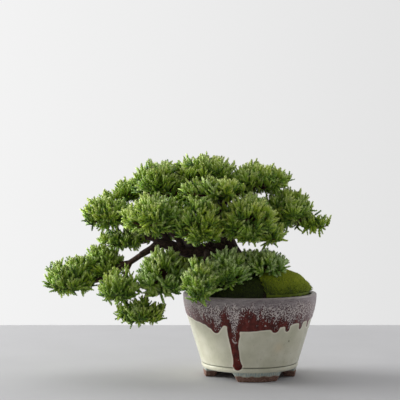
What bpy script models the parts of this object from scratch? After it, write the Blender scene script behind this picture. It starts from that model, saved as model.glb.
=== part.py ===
"""A juniper bonsai in a round glazed pot. Metres, +Z up, the front of the tree towards -Y.

Pot, soil and moss are turned about the pot's axis. The tree is laid out about the centre of the pot's
rim: each piece of wood is a tapering tube along a curve, each foliage pad is a low dome on its branch.
"""

import math

import bmesh
import bpy
from mathutils import Matrix, Vector

MM = 0.001
GAP = 0.3 * MM  # kept between two pieces that touch

# Pot
POT_HEIGHT = 83 * MM
RIM_RADIUS = 66.5 * MM
FOOT_RADIUS = 46.8 * MM  # outside of the foot ring, at its top
SHOULDER_DROP = 18 * MM  # the wall is almost upright for this far below the rim
SHOULDER_IN = 2.4 * MM
WALL = 5 * MM
LIP_ROUND = 1.6 * MM
FOOT_HEIGHT = 9 * MM
FOOT_WIDTH = 13.5 * MM
FOOT_TAPER = 1.4 * MM
BEAD_HEIGHT = 4.4 * MM
BEAD_OUT = 0.7 * MM
GROOVE_WIDTH = 1.2 * MM
GROOVE_DEPTH = 1.1 * MM
FLOOR_THICKNESS = 6 * MM
DRAIN_HOLE_RADIUS = 9 * MM
FOOT_ANGLES = (8, 100, 180, 259)  # from the front, turning towards +X
FOOT_HALF_BOTTOM = 24  # degrees, at the table
FOOT_HALF_TOP = 33  # degrees, at the body
FOOT_CUT_BELOW = 0.2  # share of the foot's height that its cutters reach below the table
POT_SEGMENTS = 72

# What fills the pot
SCREEN_SIDE = 34 * MM
SCREEN_THICKNESS = 1 * MM
SCREEN_HOLE = 3.4 * MM
SCREEN_PITCH = 5.6 * MM
SCREEN_ROWS = 5
GRIT_DEPTH = 10 * MM
MOUND_RISE = 17 * MM  # the soil's crown above the rim
SOIL_BELOW_RIM = 4 * MM  # the soil's edge below the rim
MOUND_SHAPE = ((0.0, 1.0), (0.32, 0.97), (0.6, 0.85), (0.82, 0.6), (0.94, 0.3), (1.0, 0.0))
MOSS_INNER = 19 * MM  # bare soil inside this radius, round the trunk
MOSS_EDGE_IN = 1.2 * MM
MOSS_THICK = 3.2 * MM
CUSHION_THICK = 6.8 * MM
MOSS_SHAPE = ((0.0, 0.45), (0.12, 0.85), (0.35, 1.0), (0.75, 1.0), (0.93, 0.95), (1.0, 0.8))
# name, first and last angle from the front in degrees (towards +X), thickness
MOSS_PATCHES = (
    ("moss_cushion_right", 12, 142, CUSHION_THICK),
    ("moss_patch_front", -52, 11, MOSS_THICK),
    ("moss_patch_left", -128, -53, MOSS_THICK),
    ("moss_patch_back", 143, 231, MOSS_THICK),
)
SOIL_SEGMENTS = 40

# Tree: places are in millimetres about the centre of the rim, before TREE_SCALE
TREE_SCALE = 1.0
WOOD_SCALE = 1.0
PAD_SCALE = 1.0
TREE_CROWN = 17  # height of the soil's crown above the rim that the places are given for
# Points are (x, y, z, radius).
TRUNK = (
    (3, 1, 1, 15.0), (0, 0, 12, 12.6), (-7, 1, 22, 10.8), (-14, 2, 32, 10.0), (-22, 4, 46, 9.4),
    (-27, 7, 66, 8.2), (-31, 8, 86, 6.6), (-38, 5, 101, 5.2), (-46, 0, 111, 3.4),
)  # fmt: skip
# Each root leaves the foot of the trunk: angle from the front in degrees, length, radius.
ROOTS = ((20, 25, 5.2), (85, 27, 5.6), (150, 23, 4.8), (215, 24, 5.0), (285, 29, 6.0), (335, 22, 4.4))
# name, piece it grows from, points
BRANCHES = (
    ("limb_left", "trunk", (
        (-18, 3, 39, 6.8), (-33, -4, 45, 6.3), (-48, -10, 42.6, 5.8), (-63, -13, 41, 5.4),
        (-76, -14, 46.5, 4.8), (-89, -14, 49, 4.1), (-99, -15, 43, 3.4), (-110, -15, 37, 3.0))),
    ("branch_tip_low_left", "limb_left", (
        (-107, -15, 38.5, 2.6), (-118, -12, 31, 2.5), (-131, -8, 22.6, 2.3), (-146, -7, 14, 2.1),
        (-160, -9, 11, 1.8), (-171, -12, 12, 1.5))),
    ("branch_left_low", "branch_tip_low_left", (
        (-118, -12, 31, 1.9), (-128, -3, 29, 1.9), (-139, 5, 27, 1.7), (-146, 9, 27, 1.5))),
    ("branch_front_low", "branch_tip_low_left", (
        (-118, -12, 31, 1.9), (-121, -22, 24, 2.0), (-125, -33, 13, 1.8), (-128, -40, 9, 1.5))),
    ("branch_droop", "limb_left", (
        (-96, -15, 45, 2.7), (-95, -21, 31, 2.5), (-98, -28, 12, 2.3), (-102, -31, -2, 2.0),
        (-108, -33, -12, 1.7))),
    ("branch_mid_low", "limb_left", (
        (-72, -14, 44, 2.9), (-75, -23, 36, 2.5), (-80, -32, 26, 2.1), (-85, -37, 20, 1.7))),
    ("branch_rim", "limb_left", (
        (-44, -9, 43, 2.9), (-43, -26, 38, 2.6), (-45, -44, 33, 2.3), (-49, -60, 24, 1.8))),
    ("branch_centre_low", "trunk", (
        (-9, 1, 24, 3.2), (-14, -16, 29, 2.8), (-20, -32, 30, 2.3), (-24, -44, 28, 1.8))),
    ("branch_right_low", "trunk", (
        (-8, 1, 23, 3.2), (3, -10, 29, 2.7), (8, -18, 30, 2.2), (14, -22, 29, 1.7))),
    ("branch_left_under", "limb_left", (
        (-88, -14, 49, 3.0), (-98, -6, 54, 2.6), (-110, 4, 54, 2.2), (-120, 11, 53, 1.7))),
    ("branch_left_shoulder", "limb_left", (
        (-78, -14, 47, 3.4), (-88, -9, 60, 3.0), (-104, -4, 66, 2.7), (-122, 0, 71, 2.3),
        (-138, 2, 78, 1.8))),
    ("branch_front_left", "limb_left", (
        (-66, -13, 42.5, 3.4), (-71, -22, 54, 3.0), (-79, -33, 63, 2.6), (-88, -43, 71, 2.0))),
    ("branch_front_centre", "limb_left", (
        (-36, -5, 45, 3.2), (-40, -22, 54, 2.8), (-45, -40, 62, 2.4), (-49, -54, 68, 1.9))),
    ("branch_front_right", "trunk", (
        (-24, 5, 54, 3.8), (-17, -10, 60, 3.2), (-10, -28, 65, 2.7), (-5, -41, 71, 2.1))),
    ("branch_right_tip", "trunk", (
        (-25, 6, 58, 4.4), (-8, 5, 68, 3.9), (10, 3, 73, 3.4), (27, 1, 76, 2.8), (41, -1, 73, 2.2),
        (57, -3, 69, 1.7))),
    ("branch_right_under", "branch_right_tip", (
        (-4, 5, 70, 2.6), (3, -6, 66, 2.4), (10, -16, 63, 2.1), (16, -24, 61, 1.7))),
    ("branch_crown_left", "trunk", (
        (-30, 8, 80, 4.2), (-48, 5, 93, 3.6), (-66, 0, 101, 3.0), (-84, -3, 108, 2.2))),
    ("branch_left_upper", "branch_crown_left", (
        (-72, -1, 103, 2.4), (-92, 9, 97, 2.2), (-108, 16, 97, 1.9), (-120, 19, 99, 1.6))),
    ("branch_front_upper", "trunk", (
        (-30, 8, 79, 3.4), (-33, -10, 88, 3.0), (-35, -26, 94, 2.5), (-37, -38, 99, 1.9))),
    ("branch_crown_right", "trunk", (
        (-31, 8, 84, 3.8), (-18, 6, 96, 3.3), (-5, 4, 104, 2.7), (7, 2, 109, 2.0))),
    ("branch_back_left", "limb_left", (
        (-56, -12, 41.5, 3.8), (-64, 6, 48, 3.4), (-76, 26, 56, 2.9), (-87, 44, 64, 2.3))),
    ("branch_back_right", "trunk", (
        (-23, 5, 50, 4.0), (-14, 20, 57, 3.5), (-5, 36, 63, 2.9), (2, 50, 69, 2.2))),
    ("branch_back_upper", "trunk", (
        (-28, 8, 72, 3.8), (-34, 24, 80, 3.3), (-42, 38, 87, 2.8), (-48, 50, 93, 2.2))),
    ("branch_back_low", "trunk", (
        (-16, 3, 34, 3.6), (-26, 20, 33, 3.1), (-40, 38, 29, 2.6), (-52, 52, 27, 2.0))),
)  # fmt: skip
# name, branch that carries it, centre, half sizes (the underside is flatter than the top)
PADS = (
    ("foliage_tip_low_left", "branch_tip_low_left", (-177, -12, 16), (24, 27, 22)),
    ("foliage_left_low", "branch_left_low", (-147, 9, 28), (21, 27, 20)),
    ("foliage_left_front_low", "branch_front_low", (-127, -43, 9), (19, 22, 19)),
    ("foliage_droop", "branch_droop", (-108, -34, -17), (24, 19, 14)),
    ("foliage_mid_low", "branch_mid_low", (-85, -38, 19), (22, 24, 26)),
    ("foliage_rim", "branch_rim", (-50, -70, 17), (15, 17, 23)),
    ("foliage_centre_low", "branch_centre_low", (-25, -48, 25), (20, 19, 19)),
    ("foliage_right_low", "branch_right_low", (10, -24, 27), (25, 23, 14)),
    ("foliage_left_under", "branch_left_under", (-125, 13, 51), (25, 27, 11)),
    ("foliage_left_shoulder", "branch_left_shoulder", (-142, 2, 80), (24, 32, 21)),
    ("foliage_front_left", "branch_front_left", (-92, -48, 77), (33, 34, 21)),
    ("foliage_front_centre", "branch_front_centre", (-50, -60, 71), (22, 24, 26)),
    ("foliage_front_right", "branch_front_right", (-5, -48, 74), (28, 28, 26)),
    ("foliage_right_under", "branch_right_under", (17, -27, 60), (17, 20, 15)),
    ("foliage_right_tip", "branch_right_tip", (36, 2, 82), (26, 34, 22)),
    ("foliage_right_end", "branch_right_tip", (62, -3, 68), (18, 15, 9)),
    ("foliage_left_upper", "branch_left_upper", (-121, 21, 101), (14, 25, 13)),
    ("foliage_front_upper", "branch_front_upper", (-37, -45, 102), (31, 21, 13)),
    ("foliage_crown_left", "branch_crown_left", (-90, -4, 111), (25, 36, 20)),
    ("foliage_crown_top", "trunk", (-45, 0, 118), (32, 37, 20)),
    ("foliage_crown_right", "branch_crown_right", (9, 2, 112), (31, 37, 18)),
    ("foliage_back_left", "branch_back_left", (-92, 60, 66), (39, 34, 23)),
    ("foliage_back_right", "branch_back_right", (5, 62, 71), (37, 33, 23)),
    ("foliage_back_upper", "branch_back_upper", (-48, 62, 97), (37, 32, 19)),
    ("foliage_back_low", "branch_back_low", (-58, 64, 29), (31, 27, 17)),
)
PAD_UNDER = 0.85  # a pad's depth below its centre, as a share of its height above
WOOD_STEPS = 2
PAD_AROUND = 14
PAD_RINGS = 8

FLOOR_TOP = FOOT_HEIGHT + FLOOR_THICKNESS
GRIT_BASE = FLOOR_TOP + GAP
GRIT_TOP = GRIT_BASE + GRIT_DEPTH
SOIL_BASE = GRIT_TOP + GAP
SOIL_EDGE = POT_HEIGHT - SOIL_BELOW_RIM
SOIL_RISE = MOUND_RISE + SOIL_BELOW_RIM
SHOULDER_Z = POT_HEIGHT - SHOULDER_DROP
BEAD_TOP = FOOT_HEIGHT + BEAD_HEIGHT
GROOVE_TOP = BEAD_TOP + GROOVE_WIDTH


def clear_scene():
    for obj in list(bpy.data.objects):
        bpy.data.objects.remove(obj, do_unlink=True)


def collection(name, shown=True):
    made = bpy.data.collections.new(name)
    bpy.context.scene.collection.children.link(made)
    made.hide_render = not shown
    return made


def material(name, colour, roughness, metallic=0.0):
    made = bpy.data.materials.new(name)
    made.use_nodes = True
    shader = made.node_tree.nodes["Principled BSDF"]
    shader.inputs["Base Color"].default_value = (*colour, 1.0)
    shader.inputs["Roughness"].default_value = roughness
    shader.inputs["Metallic"].default_value = metallic
    made.diffuse_color = (*colour, 1.0)
    return made


def place(name, mesh, where, stuff=None):
    """An object in a collection, parented to the row's empty."""
    obj = bpy.data.objects.new(name, mesh)
    where.objects.link(obj)
    obj.parent = root
    if stuff:
        mesh.materials.append(stuff)
    if where is guides:
        obj.hide_render = True
        obj.display_type = "WIRE"
    return obj


def smooth(mesh):
    mesh.polygons.foreach_set("use_smooth", [True] * len(mesh.polygons))
    mesh.set_sharp_from_angle(angle=math.radians(35))


def turned(name, profile, segments, where, stuff=None):
    """Turns a profile of (radius, height) pairs about the pot's axis: down the outside, up the inside."""
    mesh = bpy.data.meshes.new(name)
    points = [(radius, 0, height) for radius, height in profile]
    edges = [(i, i + 1) for i in range(len(points) - 1)]
    if profile[0][0] > 0:
        edges.append((len(points) - 1, 0))
    mesh.from_pydata(points, edges, [])
    obj = place(name, mesh, where, stuff)
    screw = obj.modifiers.new("turn", "SCREW")
    screw.steps = segments
    screw.render_steps = segments
    screw.use_merge_vertices = True
    screw.merge_threshold = 0.00001
    screw.use_smooth_shade = True
    return obj


def cut(obj, cutter, operation="DIFFERENCE"):
    modifier = obj.modifiers.new(operation.lower(), "BOOLEAN")
    modifier.operation = operation
    modifier.solver = "EXACT"
    modifier.object = cutter
    return modifier


def wall_radius(z):
    """The pot's outside radius at a height."""
    if z >= SHOULDER_Z:
        return RIM_RADIUS - SHOULDER_IN * ((POT_HEIGHT - z) / SHOULDER_DROP) ** 2
    share = (SHOULDER_Z - z) / (SHOULDER_Z - FOOT_HEIGHT)
    return (RIM_RADIUS - SHOULDER_IN) * (1 - share) + FOOT_RADIUS * share


def inner_radius(z):
    return wall_radius(z) - WALL


def outer_profile():
    """From the lip down the outside to the foot's tread."""
    lip = [
        (RIM_RADIUS - LIP_ROUND * (1 - math.sin(a)), POT_HEIGHT - LIP_ROUND * (1 - math.cos(a)))
        for a in (math.radians(d) for d in (0, 30, 60, 90))
    ]
    wall = [(wall_radius(z), z) for z in (POT_HEIGHT - SHOULDER_DROP / 2, SHOULDER_Z)]
    line = (GROOVE_TOP + BEAD_TOP) / 2
    groove = [
        (wall_radius(GROOVE_TOP), GROOVE_TOP),
        (wall_radius(line) - GROOVE_DEPTH, line),
        (wall_radius(BEAD_TOP), BEAD_TOP),
    ]
    bead = [
        (wall_radius(BEAD_TOP - BEAD_HEIGHT * 0.25) + BEAD_OUT, BEAD_TOP - BEAD_HEIGHT * 0.25),
        (wall_radius(BEAD_TOP - BEAD_HEIGHT * 0.7) + BEAD_OUT, BEAD_TOP - BEAD_HEIGHT * 0.7),
        (FOOT_RADIUS, FOOT_HEIGHT),
    ]
    foot = [(FOOT_RADIUS - FOOT_TAPER, 0)]
    return lip + wall + groove + bead + foot


def make_pot():
    inside = [
        (FOOT_RADIUS - FOOT_WIDTH + FOOT_TAPER, 0),
        (FOOT_RADIUS - FOOT_WIDTH, FOOT_HEIGHT),
        (DRAIN_HOLE_RADIUS, FOOT_HEIGHT),
        (DRAIN_HOLE_RADIUS, FLOOR_TOP),
        (inner_radius(FLOOR_TOP) - WALL, FLOOR_TOP),
        (inner_radius(FLOOR_TOP + WALL), FLOOR_TOP + WALL),
        (inner_radius(SHOULDER_Z), SHOULDER_Z),
        (inner_radius(POT_HEIGHT), POT_HEIGHT - LIP_ROUND),
        (inner_radius(POT_HEIGHT) + LIP_ROUND * 0.3, POT_HEIGHT - LIP_ROUND * 0.3),
        (inner_radius(POT_HEIGHT) + LIP_ROUND, POT_HEIGHT),
    ]
    pot = turned("pot", outer_profile() + inside, POT_SEGMENTS, parts, glaze)
    angles = list(FOOT_ANGLES) + [FOOT_ANGLES[0] + 360]
    for number, (first, last) in enumerate(zip(angles, angles[1:])):
        middle = math.radians((first + last) / 2)
        half = (last - first) / 2
        reach = FOOT_RADIUS + BEAD_OUT
        low = reach * math.sin(math.radians(half - FOOT_HALF_BOTTOM))
        high = reach * math.sin(math.radians(half - FOOT_HALF_TOP))
        depth = FOOT_WIDTH * 1.9
        mesh = bpy.data.meshes.new(f"foot_cut_{number}")
        shape = bmesh.new()
        bmesh.ops.create_cone(
            shape, cap_ends=True, segments=4, radius1=math.sqrt(2), radius2=math.sqrt(2), depth=1
        )
        bmesh.ops.rotate(shape, verts=shape.verts, matrix=Matrix.Rotation(math.pi / 4, 3, "Z"))
        for v in shape.verts:
            top = v.co.z > 0
            width = high if top else low + (low - high) * FOOT_CUT_BELOW
            v.co = (v.co.x * width, v.co.y * depth / 2, FOOT_HEIGHT * (1 if top else -FOOT_CUT_BELOW))
        shape.to_mesh(mesh)
        shape.free()
        cutter = place(mesh.name, mesh, guides)
        cutter.rotation_euler = (0, 0, middle)
        out = FOOT_RADIUS - FOOT_WIDTH / 2
        cutter.location = (out * math.sin(middle), -out * math.cos(middle), 0)
        cut(pot, cutter)
    return pot


def box(shape, size, centre):
    made = bmesh.ops.create_cube(shape, size=1)["verts"]
    for v in made:
        v.co = Vector(centre) + Vector((v.co.x * size[0], v.co.y * size[1], v.co.z * size[2]))


def make_screen():
    """A square of plastic mesh lying over the drain hole."""
    mesh = bpy.data.meshes.new("drain_screen")
    shape = bmesh.new()
    middle = FLOOR_TOP + GAP + SCREEN_THICKNESS / 2
    box(shape, (SCREEN_SIDE, SCREEN_SIDE, SCREEN_THICKNESS), (0, 0, middle))
    shape.to_mesh(mesh)
    shape.free()
    screen = place("drain_screen", mesh, parts, screen_plastic)
    holes = bpy.data.meshes.new("screen_holes")
    shape = bmesh.new()
    first = -(SCREEN_ROWS - 1) / 2 * SCREEN_PITCH
    for row in range(SCREEN_ROWS):
        for column in range(SCREEN_ROWS):
            centre = (first + row * SCREEN_PITCH, first + column * SCREEN_PITCH, middle)
            box(shape, (SCREEN_HOLE, SCREEN_HOLE, SCREEN_THICKNESS * 3), centre)
    shape.to_mesh(holes)
    shape.free()
    cut(screen, place("screen_holes", holes, guides))


def make_grit():
    """The grit fills the pot's foot and steps over the drain screen."""
    step = SCREEN_SIDE / math.sqrt(2) + GAP
    over = FLOOR_TOP + GAP + SCREEN_THICKNESS + GAP
    knee = FLOOR_TOP + WALL
    profile = [
        (0, GRIT_TOP),
        (inner_radius(GRIT_TOP) - GAP, GRIT_TOP),
        (inner_radius(knee) - GAP, knee),
        (inner_radius(FLOOR_TOP) - WALL - GAP, GRIT_BASE),
        (step, GRIT_BASE),
        (step, over),
        (0, over),
    ]
    turned("drainage_grit", profile, SOIL_SEGMENTS, parts, grit)


def mound(share_thick=0.0):
    """The soil's top as (radius, height) from the crown to the pot's wall, raised by a thickness."""
    edge = inner_radius(SOIL_EDGE) - GAP
    return [
        (edge * r, SOIL_EDGE + SOIL_RISE * h + share_thick) for r, h in MOUND_SHAPE
    ]


def make_soil():
    edge = inner_radius(SOIL_BASE) - GAP
    profile = mound() + [(inner_radius(SHOULDER_Z) - GAP, SHOULDER_Z), (edge, SOIL_BASE), (0, SOIL_BASE)]
    return turned("soil", profile, SOIL_SEGMENTS, parts, soil_stuff)


def moss_profile(thick):
    """A rounded slab that lies on the soil from MOSS_INNER to just inside the wall."""
    edge = inner_radius(SOIL_EDGE) - GAP
    start = MOSS_INNER / edge
    end = (edge - MOSS_EDGE_IN) / edge

    def top_at(share):
        for (r0, h0), (r1, h1) in zip(MOUND_SHAPE, MOUND_SHAPE[1:]):
            if share <= r1:
                return SOIL_EDGE + SOIL_RISE * (h0 + (h1 - h0) * (share - r0) / (r1 - r0))
        return SOIL_EDGE

    knots = [start] + [r for r, _ in MOUND_SHAPE if start < r < end] + [end]
    lower = [(edge * r, top_at(r) + GAP) for r in knots]
    upper = []
    for share, part in MOSS_SHAPE:
        r = start + (end - start) * share
        upper.append((edge * r, top_at(r) + GAP + thick * part))
    return upper + lower[::-1]


def make_moss(name, first, last, thick):
    """One patch: the whole ring, kept only between two angles."""
    ring = turned(name, moss_profile(thick), SOIL_SEGMENTS, parts, moss_stuff)
    mesh = bpy.data.meshes.new(name + "_wedge")
    reach = RIM_RADIUS * 3
    a = math.radians(first) + GAP / MOSS_INNER
    b = math.radians(last) - GAP / MOSS_INNER
    corners = [(0, 0), *[(reach * math.sin(angle), -reach * math.cos(angle)) for angle in (a, b)]]
    shape = bmesh.new()
    slice_face = shape.faces.new([shape.verts.new((x, y, 0)) for x, y in corners])
    raised = bmesh.ops.extrude_face_region(shape, geom=[slice_face])["geom"]
    for v in (v for v in raised if isinstance(v, bmesh.types.BMVert)):
        v.co.z = POT_HEIGHT * 3
    bmesh.ops.recalc_face_normals(shape, faces=shape.faces)
    shape.to_mesh(mesh)
    shape.free()
    cut(ring, place(mesh.name, mesh, guides), "INTERSECT")
    return ring


def tree_point(x, y, z):
    """A place in the tree, in metres about the pot: the tree stands on the soil's crown."""
    crown = POT_HEIGHT + MOUND_RISE
    return Vector((x * MM, y * MM, (z - TREE_CROWN) * MM)) * TREE_SCALE + Vector((0, 0, crown))


def tube_mesh(name, points, grow=0.0, longer=0.0):
    """A tapering limb along a smooth curve through the points, as a closed mesh."""
    path = [(tree_point(*p[:3]), p[3] * MM * TREE_SCALE * WOOD_SCALE + grow) for p in points]
    if longer:
        ahead = (path[-1][0] - path[-2][0]).normalized()
        path[-1] = (path[-1][0] + ahead * longer, path[-1][1])
    curve = bpy.data.curves.new(name, "CURVE")
    curve.dimensions = "3D"
    curve.bevel_depth = 1.0
    curve.bevel_resolution = 2
    curve.use_fill_caps = True
    curve.resolution_u = WOOD_STEPS
    line = curve.splines.new("BEZIER")
    line.bezier_points.add(len(path) - 1)
    for knot, (place_at, radius) in zip(line.bezier_points, path):
        knot.co = place_at
        knot.handle_left_type = "AUTO"
        knot.handle_right_type = "AUTO"
        knot.radius = radius
    holder = bpy.data.objects.new(name, curve)
    guides.objects.link(holder)
    bpy.context.view_layer.update()
    graph = bpy.context.evaluated_depsgraph_get()
    mesh = bpy.data.meshes.new_from_object(holder.evaluated_get(graph))
    mesh.name = name
    shape = bmesh.new()
    shape.from_mesh(mesh)
    bmesh.ops.remove_doubles(shape, verts=shape.verts, dist=0.00001)
    bmesh.ops.recalc_face_normals(shape, faces=shape.faces)
    shape.to_mesh(mesh)
    shape.free()
    bpy.data.objects.remove(holder, do_unlink=True)
    bpy.data.curves.remove(curve)
    mesh.materials.clear()
    smooth(mesh)
    return mesh


def root_points(angle, length, radius):
    """A root leaves the foot of the trunk and dives into the soil."""
    x0, y0, z0, r0 = TRUNK[1]
    out = (math.sin(math.radians(angle)), -math.cos(math.radians(angle)))
    stations = ((0.0, z0 - 1.5, 1.15), (0.42, z0 - 2.5, 1.0), (0.72, z0 - 7, 0.8), (1.0, z0 - 15, 0.5))
    return [(x0 + out[0] * length * s, y0 + out[1] * length * s, z, radius * r) for s, z, r in stations]


def make_wood():
    """The trunk with its roots, then each branch cut to sit against the piece it grows from."""
    sockets = {}
    trunk = place("trunk", tube_mesh("trunk", TRUNK), parts, bark)
    sockets["trunk"] = place("trunk_clear", tube_mesh("trunk_clear", TRUNK, GAP, 2 * GAP), guides)
    for number, (angle, length, radius) in enumerate(ROOTS):
        points = root_points(angle, length, radius)
        cut(trunk, place(f"root_{number}", tube_mesh(f"root_{number}", points), guides), "UNION")
        grown = tube_mesh(f"root_clear_{number}", points, GAP, 2 * GAP)
        cut(sockets["trunk"], place(grown.name, grown, guides), "UNION")
    made = {"trunk": trunk}
    for name, parent, points in BRANCHES:
        made[name] = place(name, tube_mesh(name, points), parts, twig_bark)
        sockets[name] = place(name + "_clear", tube_mesh(name + "_clear", points, GAP, 2 * GAP), guides)
        cut(made[name], sockets[parent])
    return made, sockets


def spheroid(centre, sizes):
    """A low dome with a flatter underside, as a bmesh."""
    shape = bmesh.new()
    bmesh.ops.create_uvsphere(shape, u_segments=PAD_AROUND, v_segments=PAD_RINGS, radius=1)
    for v in shape.verts:
        under = PAD_UNDER if v.co.z < 0 else 1.0
        v.co = centre + Vector((v.co.x * sizes[0], v.co.y * sizes[1], v.co.z * sizes[2] * under))
    return shape


def halve(shape, point, normal):
    """Keeps what lies behind the plane and closes the cut."""
    geometry = list(shape.verts) + list(shape.edges) + list(shape.faces)
    bmesh.ops.bisect_plane(shape, geom=geometry, plane_co=point, plane_no=normal, clear_outer=True)
    rim = [e for e in shape.edges if e.is_boundary]
    if rim:
        bmesh.ops.holes_fill(shape, edges=rim, sides=0)
        bmesh.ops.triangulate(shape, faces=[f for f in shape.faces if len(f.verts) > 4])


def make_pads(sockets, keep_out):
    """Pads that reach each other share a flat face with the gap between, then make room for the wood."""
    pads = {}
    for name, carrier, centre, sizes in PADS:
        scale = MM * TREE_SCALE * PAD_SCALE
        pads[name] = (tree_point(*centre), Vector(sizes) * scale, carrier)
    shapes = {name: spheroid(c, s) for name, (c, s, _) in pads.items()}
    names = list(pads)
    for i, a in enumerate(names):
        for b in names[i + 1 :]:
            centre_a, size_a, _ = pads[a]
            centre_b, size_b, _ = pads[b]
            between = centre_b - centre_a
            if any(abs(d) > p + q + GAP for d, p, q in zip(between, size_a, size_b)):
                continue
            reach_a = Vector([d / s for d, s in zip(between, size_a)]).length
            reach_b = Vector([d / s for d, s in zip(between, size_b)]).length
            share = reach_b / (reach_a + reach_b)
            normal = Vector(
                [d / s**2 / reach_a + d / t**2 / reach_b for d, s, t in zip(between, size_a, size_b)]
            ).normalized()
            meet = centre_a + between * share
            halve(shapes[a], meet - normal * GAP / 2, normal)
            halve(shapes[b], meet + normal * GAP / 2, -normal)
    graph = bpy.context.evaluated_depsgraph_get()
    for name, shape in shapes.items():
        bmesh.ops.recalc_face_normals(shape, faces=shape.faces)
        mesh = bpy.data.meshes.new(name)
        shape.to_mesh(mesh)
        shape.free()
        smooth(mesh)
        pad = place(name, mesh, parts, leaf_stuff)
        low, high = bounds_of(mesh)
        for other, socket in sockets.items():
            other_low, other_high = bounds_of(socket.evaluated_get(graph).data)
            if all(a <= d and c <= b for a, b, c, d in zip(low, high, other_low, other_high)):
                cut(pad, socket)
        if low.z < keep_out_top:
            cut(pad, keep_out)
    return pads


def bounds_of(mesh):
    points = [v.co for v in mesh.vertices]
    low = Vector([min(p[i] for p in points) for i in range(3)])
    high = Vector([max(p[i] for p in points) for i in range(3)])
    return low, high


def make_keep_out():
    """The pot and its mossed mound with the gap round them: no foliage reaches into it."""
    outside = [(r + GAP, z + GAP) for r, z in outer_profile()]
    crown = [(r, z + GAP * 2) for r, z in mound(CUSHION_THICK)]
    lip = outside[0]
    profile = [p for p in crown if p[1] > lip[1] and p[0] < lip[0]] + outside + [(0, -GAP)]
    return turned("keep_out", profile, SOIL_SEGMENTS, guides)


def centre_on_row():
    """Moves the row's empty so that the whole stands on the ground with its box centred."""
    bpy.context.view_layer.update()
    graph = bpy.context.evaluated_depsgraph_get()
    low = Vector((1e9, 1e9, 1e9))
    high = -low
    for obj in parts.objects:
        shown = obj.evaluated_get(graph)
        for v in shown.data.vertices:
            p = shown.matrix_world @ v.co
            low = Vector(map(min, low, p))
            high = Vector(map(max, high, p))
    root.location = (-(low.x + high.x) / 2, -(low.y + high.y) / 2, -low.z)


clear_scene()
parts = collection("bonsai")
guides = collection("cutters", shown=False)
root = bpy.data.objects.new("bonsai_row", None)
bpy.context.scene.collection.objects.link(root)

glaze = material("stoneware_glaze", (0.61, 0.60, 0.49), 0.22)
screen_plastic = material("screen_plastic", (0.03, 0.03, 0.03), 0.5)
grit = material("lava_grit", (0.17, 0.11, 0.09), 0.95)
soil_stuff = material("rootball_soil", (0.05, 0.035, 0.025), 0.95)
moss_stuff = material("moss", (0.20, 0.27, 0.02), 0.9)
bark = material("trunk_bark", (0.075, 0.045, 0.035), 0.85)
twig_bark = material("branch_bark", (0.09, 0.055, 0.04), 0.85)
leaf_stuff = material("juniper_foliage", (0.14, 0.24, 0.045), 0.7)

make_pot()
make_screen()
make_grit()
soil = make_soil()
mosses = [make_moss(*patch) for patch in MOSS_PATCHES]
wood, wood_clear = make_wood()
cut(soil, wood_clear["trunk"])
for patch in mosses:
    cut(patch, wood_clear["trunk"])
keep_out_top = POT_HEIGHT + MOUND_RISE + CUSHION_THICK + 3 * GAP
make_pads(wood_clear, make_keep_out())
centre_on_row()
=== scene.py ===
"""A juniper bonsai in a hand-glazed pot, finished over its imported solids.

Metres, +Z up, the front of the tree towards -Y. Pieces follow each other as they are put together: the pot,
what fills it, the moss, the wood and then the foliage.
"""

import math

import bpy
import numpy as np
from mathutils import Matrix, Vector
from mathutils.bvhtree import BVHTree


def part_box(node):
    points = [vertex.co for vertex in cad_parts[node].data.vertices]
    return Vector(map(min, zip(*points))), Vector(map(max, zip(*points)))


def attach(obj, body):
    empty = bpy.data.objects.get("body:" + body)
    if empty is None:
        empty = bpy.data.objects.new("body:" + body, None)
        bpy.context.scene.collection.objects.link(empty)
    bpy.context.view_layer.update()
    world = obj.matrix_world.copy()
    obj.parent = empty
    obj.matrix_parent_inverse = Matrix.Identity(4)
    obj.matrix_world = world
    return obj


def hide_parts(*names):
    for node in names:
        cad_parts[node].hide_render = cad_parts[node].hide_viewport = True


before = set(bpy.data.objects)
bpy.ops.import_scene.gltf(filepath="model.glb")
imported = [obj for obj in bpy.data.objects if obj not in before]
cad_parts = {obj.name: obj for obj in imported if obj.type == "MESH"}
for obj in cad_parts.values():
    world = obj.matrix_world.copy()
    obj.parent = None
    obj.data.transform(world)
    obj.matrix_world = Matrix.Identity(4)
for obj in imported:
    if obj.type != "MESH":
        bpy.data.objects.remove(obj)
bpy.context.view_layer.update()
MM = 0.001

# ---------------------------------------------------------------------------------------------- the pot
# A stoneware bonsai pot thrown on a wheel, with four feet cut from its foot ring. It is dipped in a celadon
# glaze, and its rim in an iron red one under an ash veil, which ran down in lobes and one long drip.

rng = np.random.default_rng(7)
screen_low, screen_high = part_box("drain_screen")
AXIS = np.array([(screen_low.x + screen_high.x) / 2, (screen_low.y + screen_high.y) / 2, 0.0])
pot_low, pot_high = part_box("pot")
HEIGHT = pot_high.z
RIM = (pot_high.x - pot_low.x) / 2
WALL = 5 * MM
LIP_ROUND = 1.6 * MM
SHOULDER = 18 * MM  # the wall is almost upright for this far below the rim
SHOULDER_IN = 2.4 * MM
FOOT_OUT = 46.8 * MM  # radius at the top of the foot
FOOT_IN = 33.3 * MM
FOOT_TAPER = 1.4 * MM
FOOT_TALL = 9 * MM
FOOT_ANGLES = (8, 100, 180, 259)  # degrees from the front, turning towards +X
FOOT_HALF = (24, 33)  # half width in degrees, at the table and at the body
BEAD = (9.2 * MM, 13.4 * MM)  # lower and upper edge of the raised line above the feet
BEAD_OUT = 0.7 * MM
GROOVE = 14.0 * MM  # height of the scratched line over the bead
FLOOR = (9 * MM, 15 * MM)
DRAIN_HOLE = 9 * MM
GLAZED_INSIDE = 77  # mm; above this the inside of the wall is glazed too
COLUMNS = 528
FOOT_SIDE_ROWS = 9


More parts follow.
